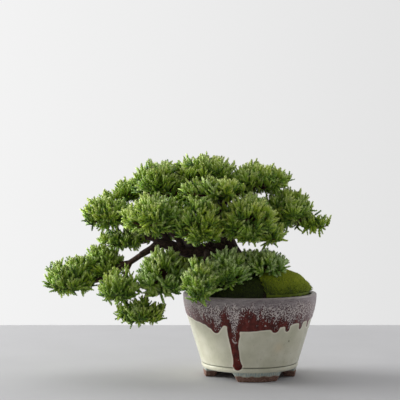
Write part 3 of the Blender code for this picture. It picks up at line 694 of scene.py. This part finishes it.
def scattered(points, triangles, number):
    """Random places on a mesh, evenly by area: (places, faces they lie on)."""
    a, b, c = (points[triangles[:, k]] for k in range(3))
    area = np.linalg.norm(np.cross(b - a, c - a), axis=1) / 2
    face = rng.choice(len(triangles), number, p=area / area.sum())
    u, v = rng.random((2, number))
    over = u + v > 1
    u, v = np.where(over, 1 - u, u), np.where(over, 1 - v, v)
    return a[face] + u[:, None] * (b - a)[face] + v[:, None] * (c - a)[face], face


for name in moss_names:
    look, lumpy = MOSS_LOOK[name]
    mat, mat_faces, mat_normals = remeshed(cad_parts[name], 1.0 * MM)
    up = np.clip(mat_normals[:, 2], 0, 1)
    lumps = 0.55 * wander(mat, 13 * MM, 3) + 0.3 * wander(mat, 6 * MM, 4) + 0.15 * wander(mat, 3 * MM, 5)
    mat = mat + mat_normals * (up * lumps * lumpy * MM)[:, None]
    corners = mat[mat_faces]
    across = np.cross(corners[:, 1] - corners[:, 0], corners[:, 2] - corners[:, 0])
    area = np.linalg.norm(across, axis=1) / 2
    leaves, on_face = scattered(mat, mat_faces, int(area.sum() / MM**2 * MOSS_PER_MM2))
    normal = mat_normals[mat_faces[on_face]].mean(1)
    kept = normal[:, 2] > 0.05
    leaves, normal = leaves[kept], normal[kept]
    count = len(leaves)
    axes = normal + np.array([0, 0, 0.7]) + rng.normal(size=(count, 3)) * 0.3
    lengths = rng.uniform(*MOSS_LEAF, count) * (1 + np.clip(0.7 - normal[:, 2], 0, 1))
    blades = placed(spike, leaves - normal * 0.2 * MM, axes, lengths, rng.uniform(0, math.tau, count))
    cloud = 0.5 * wander(leaves, 11 * MM, 8) + 0.3 * wander(leaves, 3 * MM, 9)
    share = (leaves - mat.min(0)) / np.ptp(mat, axis=0)
    # The moss is painted darker where the tree and the pot wall shade it.
    painted_shade = 1.05 - 1.6 * share[:, 2] + np.clip(0.8 - 2.4 * share[:, 0], 0, 1)
    painted_shade = np.clip(painted_shade, 0, 1)  # painted shade: darker low down towards the pot wall and to the left in under the tree
    fresh = np.clip(look * (1 - 0.62 * painted_shade) + 0.24 * cloud + rng.normal(size=count) * 0.12, 0.05, 1)
    blade_tone = fresh[:, None] * np.array([0.4, 0.4, 0.4, 1.0])
    blade_hue = 0.62 + 0.35 * wander(leaves, 14 * MM, 10)[:, None] + rng.normal(size=(count, 4)) * 0.02
    blade_hue = np.clip(blade_hue, 0, 1)
    mat_tone = np.full(len(mat), look * 0.4) + 0.05 * wander(mat, 3 * MM, 11)
    mat_hue = np.clip(0.5 + 0.3 * wander(mat, 5 * MM, 12), 0, 1)
    tones = np.clip(np.concatenate([mat_tone, blade_tone.ravel()]), 0, 1)
    hues = np.concatenate([mat_hue, blade_hue.ravel()])
    faces = np.concatenate([mat_faces, many(spike_faces, count, 4) + len(mat)])
    points = np.concatenate([mat, blades.reshape(-1, 3)])
    patch = toned(name + "_leaves", points, faces, moss_stuff, tones, hues)
    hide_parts(name)
    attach(patch, "root")

# ------------------------------------------------------------------------------------------------ the wood
# A juniper trunk that flares into its surface roots, bends left and carries one long low limb. Old wood
# wears stringy, flaking bark; the branches have a thinner skin, and the twigs at the leaves are red brown.

# Routes are (x, y, z, radius) in mm about the centre of the pot's rim.
RIM_CENTRE = AXIS + np.array([0, 0, HEIGHT])
TRUNK = (
    (3, 1, 1, 15.0), (0, 0, 12, 12.6), (-7, 1, 22, 10.8), (-14, 2, 32, 10.0), (-22, 4, 46, 9.4),
    (-27, 7, 66, 8.2), (-31, 8, 86, 6.6), (-38, 5, 101, 5.2), (-46, 0, 111, 3.4),
)  # fmt: skip
# Each root: angle from the front in degrees, length, radius.
ROOTS = ((20, 25, 5.2), (85, 27, 5.6), (150, 23, 4.8), (215, 24, 5.0), (285, 29, 6.0), (335, 22, 4.4))
# Along it: share of its length, height in mm from the trunk's flare, share of its radius.
ROOT_STATIONS = ((0.0, -1.5, 1.15), (0.42, -2.5, 1.0), (0.72, -7, 0.8), (1.0, -15, 0.5))
BRANCHES = {
    "limb_left": (
        (-18, 3, 39, 6.8), (-33, -4, 45, 6.3), (-48, -10, 42.6, 5.8), (-63, -13, 41, 5.4),
        (-76, -14, 46.5, 4.8), (-89, -14, 49, 4.1), (-99, -15, 43, 3.4), (-110, -15, 37, 3.0)),
    "branch_tip_low_left": (
        (-107, -15, 38.5, 2.6), (-118, -12, 31, 2.5), (-131, -8, 22.6, 2.3), (-146, -7, 14, 2.1),
        (-160, -9, 11, 1.8), (-171, -12, 12, 1.5)),
    "branch_left_low": ((-118, -12, 31, 1.9), (-128, -3, 29, 1.9), (-139, 5, 27, 1.7), (-146, 9, 27, 1.5)),
    "branch_front_low": (
        (-118, -12, 31, 1.9), (-121, -22, 24, 2.0), (-125, -33, 13, 1.8), (-128, -40, 9, 1.5)),
    "branch_droop": (
        (-96, -15, 45, 2.7), (-95, -21, 31, 2.5), (-98, -28, 12, 2.3), (-102, -31, -2, 2.0),
        (-108, -33, -12, 1.7)),
    "branch_mid_low": ((-72, -14, 44, 2.9), (-75, -23, 36, 2.5), (-80, -32, 26, 2.1), (-85, -37, 20, 1.7)),
    "branch_rim": ((-44, -9, 43, 2.9), (-43, -26, 38, 2.6), (-45, -44, 33, 2.3), (-49, -60, 24, 1.8)),
    "branch_centre_low": ((-9, 1, 24, 3.2), (-14, -16, 29, 2.8), (-20, -32, 30, 2.3), (-24, -44, 28, 1.8)),
    "branch_right_low": ((-8, 1, 23, 3.2), (3, -10, 29, 2.7), (8, -18, 30, 2.2), (14, -22, 29, 1.7)),
    "branch_left_under": ((-88, -14, 49, 3.0), (-98, -6, 54, 2.6), (-110, 4, 54, 2.2), (-120, 11, 53, 1.7)),
    "branch_left_shoulder": (
        (-78, -14, 47, 3.4), (-88, -9, 60, 3.0), (-104, -4, 66, 2.7), (-122, 0, 71, 2.3),
        (-138, 2, 78, 1.8)),
    "branch_front_left": (
        (-66, -13, 42.5, 3.4), (-71, -22, 54, 3.0), (-79, -33, 63, 2.6), (-88, -43, 71, 2.0)),
    "branch_front_centre": (
        (-36, -5, 45, 3.2), (-40, -22, 54, 2.8), (-45, -40, 62, 2.4), (-49, -54, 68, 1.9)),
    "branch_front_right": ((-24, 5, 54, 3.8), (-17, -10, 60, 3.2), (-10, -28, 65, 2.7), (-5, -41, 71, 2.1)),
    "branch_right_tip": (
        (-25, 6, 58, 4.4), (-8, 5, 68, 3.9), (10, 3, 73, 3.4), (27, 1, 76, 2.8), (41, -1, 73, 2.2),
        (57, -3, 69, 1.7)),
    "branch_right_under": ((-4, 5, 70, 2.6), (3, -6, 66, 2.4), (10, -16, 63, 2.1), (16, -24, 61, 1.7)),
    "branch_crown_left": ((-30, 8, 80, 4.2), (-48, 5, 93, 3.6), (-66, 0, 101, 3.0), (-84, -3, 108, 2.2)),
    "branch_left_upper": ((-72, -1, 103, 2.4), (-92, 9, 97, 2.2), (-108, 16, 97, 1.9), (-120, 19, 99, 1.6)),
    "branch_front_upper": ((-30, 8, 79, 3.4), (-33, -10, 88, 3.0), (-35, -26, 94, 2.5), (-37, -38, 99, 1.9)),
    "branch_crown_right": ((-31, 8, 84, 3.8), (-18, 6, 96, 3.3), (-5, 4, 104, 2.7), (7, 2, 109, 2.0)),
    "branch_back_left": ((-56, -12, 41.5, 3.8), (-64, 6, 48, 3.4), (-76, 26, 56, 2.9), (-87, 44, 64, 2.3)),
    "branch_back_right": ((-23, 5, 50, 4.0), (-14, 20, 57, 3.5), (-5, 36, 63, 2.9), (2, 50, 69, 2.2)),
    "branch_back_upper": ((-28, 8, 72, 3.8), (-34, 24, 80, 3.3), (-42, 38, 87, 2.8), (-48, 50, 93, 2.2)),
    "branch_back_low": ((-16, 3, 34, 3.6), (-26, 20, 33, 3.1), (-40, 38, 29, 2.6), (-52, 52, 27, 2.0)),
}  # fmt: skip
# A pad hangs on the branch of the same name, apart from these.
CARRIERS = {
    "foliage_left_front_low": "branch_front_low",
    "foliage_right_end": "branch_right_tip",
    "foliage_crown_top": "trunk",
}


def along(route, spacing):
    """Points about this far apart on a smooth curve through a route, its last column carried along."""
    knots = np.asarray(route, float)
    ends = np.concatenate([[2 * knots[0] - knots[1]], knots, [2 * knots[-1] - knots[-2]]])
    made = []
    for p0, p1, p2, p3 in zip(ends, ends[1:], ends[2:], ends[3:]):
        steps = max(2, int(np.linalg.norm(p2[:3] - p1[:3]) / spacing))
        t = np.linspace(0, 1, steps, endpoint=False)[:, None]
        bend = 2 * p1 + (p2 - p0) * t + (2 * p0 - 5 * p1 + 4 * p2 - p3) * t**2
        made.append((bend + (3 * p1 - p0 - 3 * p2 + p3) * t**3) / 2)
    return np.concatenate([*made, knots[-1:]])


def grown(route, around, spacing, roughness, seed):
    """A tapering length of wood in mm: (points, triangles), its skin ridged along the grain."""
    path = along(route, spacing)
    centre, girth = path[:, :3], path[:, 3].copy()
    tangent = unit(np.gradient(centre, axis=0))
    side = np.empty_like(centre)
    start = np.cross(tangent[0], (0.31, 0.2, 0.93))
    for i, t in enumerate(tangent):
        start = start - t * np.dot(start, t)
        start = start / np.linalg.norm(start)
        side[i] = start
    other = np.cross(tangent, side)
    length = np.concatenate([[0], np.cumsum(np.linalg.norm(np.diff(centre, axis=0), axis=1))])
    closing = np.sqrt(np.clip(np.minimum(length, length[-1] - length) / (0.8 * girth), 0.0004, 1))
    turns = np.linspace(0, math.tau, around, endpoint=False)[None] + length[:, None] * 0.012
    ring = np.stack([np.cos(turns), np.sin(turns), np.zeros_like(turns)], -1) * girth[:, None, None]
    ring[..., 2] = length[:, None] / 5.0
    ridges = 1 - 2 * np.abs(wander(ring, 1.7, seed))
    flakes = wander(ring, 3.6, seed + 1)
    skin = girth[:, None] * (1 + 0.05 * flakes) + roughness * (0.6 * ridges + 0.5 * flakes)
    skin = skin * closing[:, None]
    out = side[:, None] * np.cos(turns)[..., None] + other[:, None] * np.sin(turns)[..., None]
    points = centre[:, None] + out * skin[..., None]
    return points.reshape(-1, 3), ring_triangles(len(path), around)


def together(parts):
    """Joins (points, triangles) parts into one."""
    starts = np.cumsum([0] + [len(p) for p, _ in parts])
    triangles = np.concatenate([t + start for (_, t), start in zip(parts, starts)])
    return np.concatenate([p for p, _ in parts]), triangles


# Juniper bark: fibrous strips along the wood, grey brown on their backs and near black between.
bark = finish_named("juniper bark")
bark_place = add(bark, "TexCoord", out="Object")
girth = add(bark, "Attribute", {"attribute_name": "girth"}, out="Fac")
strips = {"Scale": 1 / (2.2 * MM), "Detail": 6.0, "Roughness": 0.65, "Distortion": 0.8}
fibre = add(bark, "TexNoise", strips, {"Vector": bark_place})
old_tones = ((0.32, "150d0b"), (0.5, "38261f"), (0.64, "58413a"), (0.8, "7d675a"))
young_tones = ((0.32, "2a1610"), (0.5, "54301f"), (0.7, "7d5134"))
old_bark = add(bark, "ValToRGB", {"stops": old_tones}, {"Fac": fibre})
young_bark = add(bark, "ValToRGB", {"stops": young_tones}, {"Fac": fibre})
old_share = add(bark, "MapRange", {"From Min": 1.0, "From Max": 3.2}, {"Value": girth})
bark_colour = add(bark, "Mix", {"data_type": "RGBA"}, {0: old_share, 6: young_bark, 7: old_bark})
bark_bump = add(bark, "Bump", {"Strength": 0.9, "Distance": 0.5 * MM}, {"Height": fibre})
add(bark, "Principled", {"Roughness": 0.85}, {"Base Color": bark_colour, "Normal": bark_bump})


def rooted(name, parts):
    """One piece of wood in place of its CAD node: parts are (points in mm, triangles, radius in mm)."""
    points, triangles = together([(p, t) for p, t, _ in parts])
    girths = np.concatenate([np.broadcast_to(g, len(p)) for p, _, g in parts])
    piece = shown(name + "_bark", RIM_CENTRE + points * MM, triangles, bark, {"girth": girths})
    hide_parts(name)
    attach(piece, "root")


wood = {"trunk": [(*grown(TRUNK, around=56, spacing=0.9, roughness=0.75, seed=1), 9.0)]}
for number, (angle, length, thick) in enumerate(ROOTS):
    x0, y0, z0, _ = TRUNK[1]
    out = (math.sin(math.radians(angle)), -math.cos(math.radians(angle)))
    route = [
        (x0 + out[0] * length * share, y0 + out[1] * length * share, z0 + height, thick * girth)
        for share, height, girth in ROOT_STATIONS
    ]
    root = grown(route, around=28, spacing=0.8, roughness=0.5, seed=20 + number)
    wood["trunk"].append((*root, 5.0))
for number, (name, route) in enumerate(BRANCHES.items()):
    thick = route[0][3]
    around, roughness = 12 + int(thick * 4), 0.1 + 0.07 * thick
    wood[name] = [(*grown(route, around, spacing=0.8, roughness=roughness, seed=40 + number), thick)]

# --------------------------------------------------------------------------------------------- the foliage
# Each pad is a cloud of tufts. A tuft is a fan of finger-like shoots on one twig, and a shoot is a stem set
# with whorls of three awl-shaped needles, bright green at its tip and darker towards the wood.

TUFT_SPACING = 7.0 * MM
SHOOT_LENGTH = (7 * MM, 12 * MM)
SHOOT_WHORLS = 8
NEEDLE = 1.6  # mm, on a shoot 10 mm long
TUFT_DEPTH = 11 * MM  # of the shoots' feet under the pad's surface
BUNCH = 14 * MM  # across a bunch of tufts, which is a low dome with a gap round it
BUNCH_DROP = 6.5 * MM  # from the middle of a bunch to its edge
HOLLOW = 0.42  # above this, of 1, the wandering noise leaves a gap between tufts
# The shaded pads near the pot carry longer, bluer growth of the year before, by this share, and their tone
# is raised by it as painted fill light.
OLDER_AND_PAINTED_FILL = {"foliage_centre_low": 1.0, "foliage_right_low": 0.9, "foliage_mid_low": 0.7, "foliage_rim": 0.4}
PLACES_TRIED = 2600  # on each pad, for its tufts
SHOOTS_PER_TUFT = 6
SHOOT_FAN = (14, 40)  # degrees from the tuft's axis
FRESH = 0.97  # tone of a usual tip
INNER_SHOOTS = 5  # of older growth, under the tufts that stand at least this deep
INNER_DEPTH = 8 * MM
INNER_FAN = (25, 75)
INNER_LENGTH = (7, 11)  # mm
UNDER_PAD = -0.35  # where a face looks down more than this, most tufts are left out
THINNED = 0.8
MOSS_GAP = 1.4 * MM  # no tuft starts nearer to the pot or the moss
pad_names = sorted(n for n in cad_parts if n.startswith("foliage_"))


def shoot_shape(bend, whorls):
    """A shoot 1 long, up +Z and bent towards +X: points, faces, and how far along it each point is."""
    scale = 1 / 10.0  # mm to the shape's own length
    points, faces, places = [], [], []

    def stem(t):
        return np.array([bend * t * t, 0, t])

    for t, thick in ((0.0, 0.6), (0.5, 0.95), (0.93, 0.55)):
        ring = [np.array([math.cos(a), math.sin(a), 0]) for a in (0.0, 2.1, 4.2)]
        points += [stem(t) + scale * thick * side for side in ring]
        places += [t] * 3
    for low in (0, 3):
        for k in range(3):
            a, b = low + k, low + (k + 1) % 3
            faces += [(a, b, b + 3), (a, b + 3, a + 3)]
    for k in range(whorls):
        t = 0.06 + 0.9 * (k / (whorls - 1)) ** 0.92
        lean = math.radians(30 - 17 * t)
        for j in range(3):
            turn = math.tau * j / 3 + math.pi / 3 * (k % 2) + rng.normal() * 0.16
            out = np.array([math.cos(turn), math.sin(turn), 0])
            sideways = np.array([-math.sin(turn), math.cos(turn), 0])
            long = scale * NEEDLE * (0.82 + 0.3 * math.sin(math.pi * t)) * rng.uniform(0.88, 1.12)
            tilt = lean + rng.normal() * 0.1
            root = stem(t) + out * scale * (0.55 + 0.3 * math.sin(math.pi * t))
            upwards = np.array([2 * bend * t, 0, 1]) * math.cos(tilt)
            tip = root + long * (out * math.sin(tilt) + upwards)
            first = len(points)
            points += [
                root + sideways * scale * 0.7,
                root - sideways * scale * 0.7,
                root + out * scale * 0.1 - np.array([0, 0, scale * 0.5]),
                tip,
            ]
            places += [t, t, t - 0.04, t + 0.2]
            faces += [(first + i, first + j, first + 3) for i, j in ((1, 0), (0, 2), (2, 1))]
    points.append(stem(1.0) + np.array([0, 0, scale * 0.9]))
    places.append(1.1)
    top = len(points) - 1
    faces += [(6, 7, top), (7, 8, top), (8, 6, top)]
    return np.array(points), np.array(faces), np.clip(np.array(places), 0, 1.15)


SHOOTS = [shoot_shape(bend, SHOOT_WHORLS) for bend in (0.02, 0.09, 0.16, 0.24)]
INNER_SHOOT = shoot_shape(bend=0.1, whorls=5)

# Juniper needles: a waxy leaf, blue green in the shade and yellow green where it has just grown.
needles = leafy_finish(
    "juniper needles",
    ((0.0, "222a06"), (0.25, "5f7c0f"), (0.5, "9fbe1b"), (0.75, "c0d836"), (1.0, "dae87a")),
    ((0.0, "1a280a"), (0.25, "48721a"), (0.5, "7cac38"), (0.75, "a2cc62"), (1.0, "c6e098")),
    0.5,
    0.9 * MM,
)


def spread_over(node, others, spacing):
    """Places on a pad's outer faces at least this far apart: (places, normals)."""
    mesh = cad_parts[node].data
    mesh.calc_loop_triangles()
    points = np.array([v.co for v in mesh.vertices])
    triangles = np.array([t.vertices for t in mesh.loop_triangles])
    places, face = scattered(points, triangles, PLACES_TRIED)
    a, b, c = (points[triangles[face, k]] for k in range(3))
    normals = unit(np.cross(b - a, c - a))
    kept = np.zeros((0, 3))
    kept_normals = []
    open_place = wander(places, 10 * MM, 60) > HOLLOW
    for place, normal in zip(places[~open_place], normals[~open_place]):
        if len(kept) and ((kept - place) ** 2).sum(1).min() < spacing**2:
            continue
        if normal[2] < UNDER_PAD and rng.random() < THINNED:
            continue
        if others.find_nearest(Vector(place), MOSS_GAP)[0] is not None:
            continue
        kept = np.concatenate([kept, place[None]])
        kept_normals.append(normal)
    return kept, np.array(kept_normals)


def fanned(axes, number, narrow, wide):
    """Directions for a tuft's shoots: (tufts, number, 3), one near its axis and the rest round it."""
    count = len(axes)
    axes = unit(axes)
    side = unit(np.cross(axes, (0.3, 0.9, 0.31)))
    front = np.cross(axes, side)
    turn = math.tau * (np.arange(number)[None] / (number - 1) + rng.random((count, 1)))
    turn = turn + rng.normal(size=(count, number)) * 0.3
    lean = np.radians(rng.uniform(narrow, wide, (count, number)))
    lean[:, 0] *= 0.25
    ways = side[:, None] * np.cos(turn)[..., None] + front[:, None] * np.sin(turn)[..., None]
    return axes[:, None] * np.cos(lean)[..., None] + ways * np.sin(lean)[..., None]


def shoots_at(bases, ways, shape, lengths, fresh, hue):
    """Copies of a shoot with the tone and hue of each point: (points, faces, tones, hues)."""
    outline, outline_faces, places = shape
    count = len(bases)
    points = placed(outline, bases, ways, lengths, rng.uniform(0, math.tau, count))
    tones = fresh[:, None] * (0.2 + 0.8 * np.clip(places, 0, 1.15)[None] ** 1.1)
    tones = tones + rng.normal(size=tones.shape) * 0.02
    hues = hue[:, None] + rng.normal(size=tones.shape) * 0.02
    faces = many(outline_faces, count, len(outline))
    return points.reshape(-1, 3), faces, np.clip(tones, 0, 1).ravel(), np.clip(hues, 0, 1).ravel()


for name in pad_names:
    rest = [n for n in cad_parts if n.startswith(("pot", "moss_"))]
    places, normals = spread_over(name, solid_of(rest), TUFT_SPACING)
    pad = solid_of([name])
    count = len(places)
    axes = normals * 0.55 + rng.normal(size=(count, 3)) * 0.18
    axes[:, 2] += 0.8 * np.clip(1 + 1.3 * normals[:, 2], 0.2, 1)  # under a pad they turn out, not up
    axes = unit(axes)
    heads = places[:1]
    for place in places:
        if ((heads - place) ** 2).sum(1).min() > BUNCH**2:
            heads = np.concatenate([heads, place[None]])
    away = np.linalg.norm(places[:, None] - heads[None], axis=2)
    from_head = (places - heads[away.argmin(1)]) / BUNCH
    axes += 0.25 * from_head
    drop = BUNCH_DROP * away.min(1) / BUNCH
    depth = TUFT_DEPTH - 2 * MM + drop + 4 * MM * wander(places, 11 * MM, 50)
    for i in range(count):
        inwards = Vector(-axes[i])
        hit = pad.ray_cast(Vector(places[i]) + inwards * 0.2 * MM, inwards)
        reach = hit[3] if hit[0] is not None else 0.0
        depth[i] = min(depth[i], max(3 * MM, reach * 0.6))
    bases = places - axes * depth[:, None]
    cloud = wander(places, 22 * MM, 51)
    parts = []
    number = SHOOTS_PER_TUFT
    ways = fanned(axes, number, *SHOOT_FAN)
    ways = ways + np.array([0, 0, 0.24])
    lengths = rng.uniform(*SHOOT_LENGTH, (count, number)) * (depth / TUFT_DEPTH)[:, None] ** 0.25
    fresh = FRESH + 0.14 * cloud[:, None] + rng.normal(size=(count, number)) * 0.07
    # Painted light: tufts facing up are made lighter and those facing down darker, for the light from above.
    fresh = fresh + 0.1 * np.clip(normals[:, 2:], -1, 1)
    older_and_painted_fill = OLDER_AND_PAINTED_FILL.get(name, 0.0)
    # painted fill light: the shaded pads' tone is raised
    fresh = fresh + 0.1 * older_and_painted_fill
    lengths = lengths * (1 + 0.25 * older_and_painted_fill)
    hue = 0.6 - 0.45 * older_and_painted_fill + 0.38 * wander(places, 17 * MM, 52)[:, None]
    hue = hue + rng.normal(size=(count, number)) * 0.1
    starts = bases[:, None] + ways * 0.6 * MM + rng.normal(size=(count, number, 3)) * 1.1 * MM
    kind = rng.integers(len(SHOOTS), size=(count, number))
    for k, shape in enumerate(SHOOTS):
        pick = kind == k
        parts.append(shoots_at(starts[pick], ways[pick], shape, lengths[pick], fresh[pick], hue[pick]))

    # Older growth fills the middle of the pad, in shade.
    deep = depth > INNER_DEPTH
    inner = bases[deep] - normals[deep] * 1.5 * MM + rng.normal(size=(deep.sum(), 3)) * 2.5 * MM
    if len(inner):
        ways = fanned(axes[deep], INNER_SHOOTS, *INNER_FAN)
        pick = np.ones(ways.shape[:2], bool)
        starts = np.repeat(inner[:, None], INNER_SHOOTS, 1)
        shaded = rng.uniform(0.35, 0.6, ways.shape[:2])
        lengths = rng.uniform(*INNER_LENGTH, ways.shape[:2]) * MM
        dull = rng.uniform(0.1, 0.6, ways.shape[:2])
        old = shoots_at(starts[pick], ways[pick], INNER_SHOOT, lengths[pick], shaded[pick], dull[pick])
        parts.append(old)
    points, faces = together([(p, f) for p, f, _, _ in parts])
    tones = np.concatenate([t for _, _, t, _ in parts])
    hues = np.concatenate([h for _, _, _, h in parts])
    piece = toned(name + "_needles", points, faces, needles, tones, hues)
    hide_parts(name)
    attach(piece, "root")

    # Twigs run from the end of the branch to each tuft.
    carrier = CARRIERS.get(name, name.replace("foliage_", "branch_"))
    route = along(BRANCHES.get(carrier, TRUNK), 1.0)
    route = route[len(route) // 2 :]
    for base in (bases - RIM_CENTRE) / MM:
        away = np.linalg.norm(route[:, :3] - base, axis=1)
        start = route[np.argmin(away + 0.25 * np.arange(len(route))[::-1])]
        sag = np.array([0, 0, -0.12 * away.min()])
        middle = (start[:3] + base) / 2 + sag + rng.normal(size=3) * 0.8
        twig = [(*start[:3], 0.95), (*middle, 0.7), (*base, 0.45)]
        twig = grown(twig, around=6, spacing=2.0, roughness=0.03, seed=90)
        wood[carrier].append((*twig, 0.8))

for name, parts in wood.items():
    rooted(name, parts)

# ---------------------------------------------------------------------------------------------- the studio
# A pale grey table top that ends a little way behind the pot, before an even pale backdrop. A large soft
# light stands to the left and behind, and weaker ones above, to the right and low in front.

TABLE = (-1.6, 1.6, -2.4, 0.40)  # left, right, front and back edge, from the pot's axis
left, right, front_edge, back_edge = (edge + AXIS[i] for edge, i in zip(TABLE, (0, 0, 1, 1)))

# Laminate: an even grey with the faintest clouds, which scatters what light falls on it.
table_top = finish_named("matt grey laminate table")
table_place = add(table_top, "TexCoord", out="Object")
table_cloud = add(table_top, "TexNoise", {"Scale": 12.0, "Detail": 3.0}, {"Vector": table_place})
table_tones = ((0.3, "b7b7b8"), (0.7, "bbbbbc"))
table_colour = add(table_top, "ValToRGB", {"stops": table_tones}, {"Fac": table_cloud})
add(table_top, "Principled", {"Roughness": 0.85}, {"Base Color": table_colour})
table = shown(
    "table",
    [(left, front_edge, 0), (right, front_edge, 0), (right, back_edge, 0), (left, back_edge, 0)],
    [(0, 1, 2), (0, 2, 3)],
    table_top,
)

studio = bpy.data.worlds.new("studio")
studio.use_nodes = True
bpy.context.scene.world = studio
ROOM_LIGHT = (0.18, 0.42)  # from the front, where the room is dark, and from behind, off the paper

# Backdrop paper: even and pale. It is lit from the left, so it fades a little to the right.
direction = add(studio, "TexCoord")
sideways = add(studio, "SeparateXYZ", {}, {"Vector": direction})
across = add(studio, "MapRange", {"From Min": -0.18, "From Max": 0.18}, {"Value": sideways})
paper_tones = ((0.0, "f3f3f3"), (0.5, "ececec"), (1.0, "e4e4e4"))
paper = add(studio, "ValToRGB", {"stops": paper_tones}, {"Fac": across})
backdrop = add(studio, "Background", {"Strength": 1.0}, {"Color": paper})
depthways = add(studio, "SeparateXYZ", {}, {"Vector": direction}, out="Y")
dim, bright = ROOM_LIGHT
fill = {"From Min": -1.0, "From Max": 1.0, "To Min": dim, "To Max": bright}
fill_strength = add(studio, "MapRange", fill, {"Value": depthways})
room = add(studio, "Background", {"Color": "fdfcff"}, {"Strength": fill_strength})
to_camera = add(studio, "LightPath")
chosen = add(studio, "MixShader", {}, {0: to_camera, 1: room, 2: backdrop})
studio.node_tree.links.new(chosen, studio.node_tree.nodes["World Output"].inputs["Surface"])


def soft_light(name, place, target, size, power):
    """A diffuser of a width and height, with its place and target from the pot's axis, and its watts."""
    lamp = bpy.data.lights.new(name, "AREA")
    lamp.shape = "RECTANGLE"
    lamp.size, lamp.size_y = size
    lamp.energy = power
    holder = bpy.data.objects.new(name, lamp)
    bpy.context.scene.collection.objects.link(holder)
    place, target = Vector(place) + Vector(AXIS), Vector(target) + Vector(AXIS)
    holder.location = place
    holder.rotation_euler = (target - place).to_track_quat("-Z", "Y").to_euler()
    holder.visible_camera = False


soft_light("window_left", (-2.4, 0.6, 0.65), (0, 0, 0.06), (1.6, 1.3), 106)
soft_light("softbox_above", (-0.3, 0.45, 1.5), (-0.03, 0, 0.08), (1.6, 1.4), 10)
soft_light("softbox_right", (1.2, 0.3, 0.5), (0, 0, 0.08), (0.6, 0.6), 4)
soft_light("softbox_front", (-0.4, -1.7, 0.3), (0, 0, 0.1), (1.2, 0.8), 2.4)

# The camera stands a little over a metre in front, at the height of the foliage, and looks slightly down.
CAMERA_AT = (-0.0497, -1.110, 0.188)
CAMERA_DOWN = 0.67  # degrees
camera = bpy.data.cameras.new("camera")
camera.lens = 99.9
camera.sensor_width = 36
camera.clip_end = 20
holder = bpy.data.objects.new("camera", camera)
bpy.context.scene.collection.objects.link(holder)
holder.location = AXIS + np.array(CAMERA_AT)
holder.rotation_euler = (math.radians(90 - CAMERA_DOWN), 0, 0)
bpy.context.scene.camera = holder
bpy.context.scene.view_settings.view_transform = "Standard"
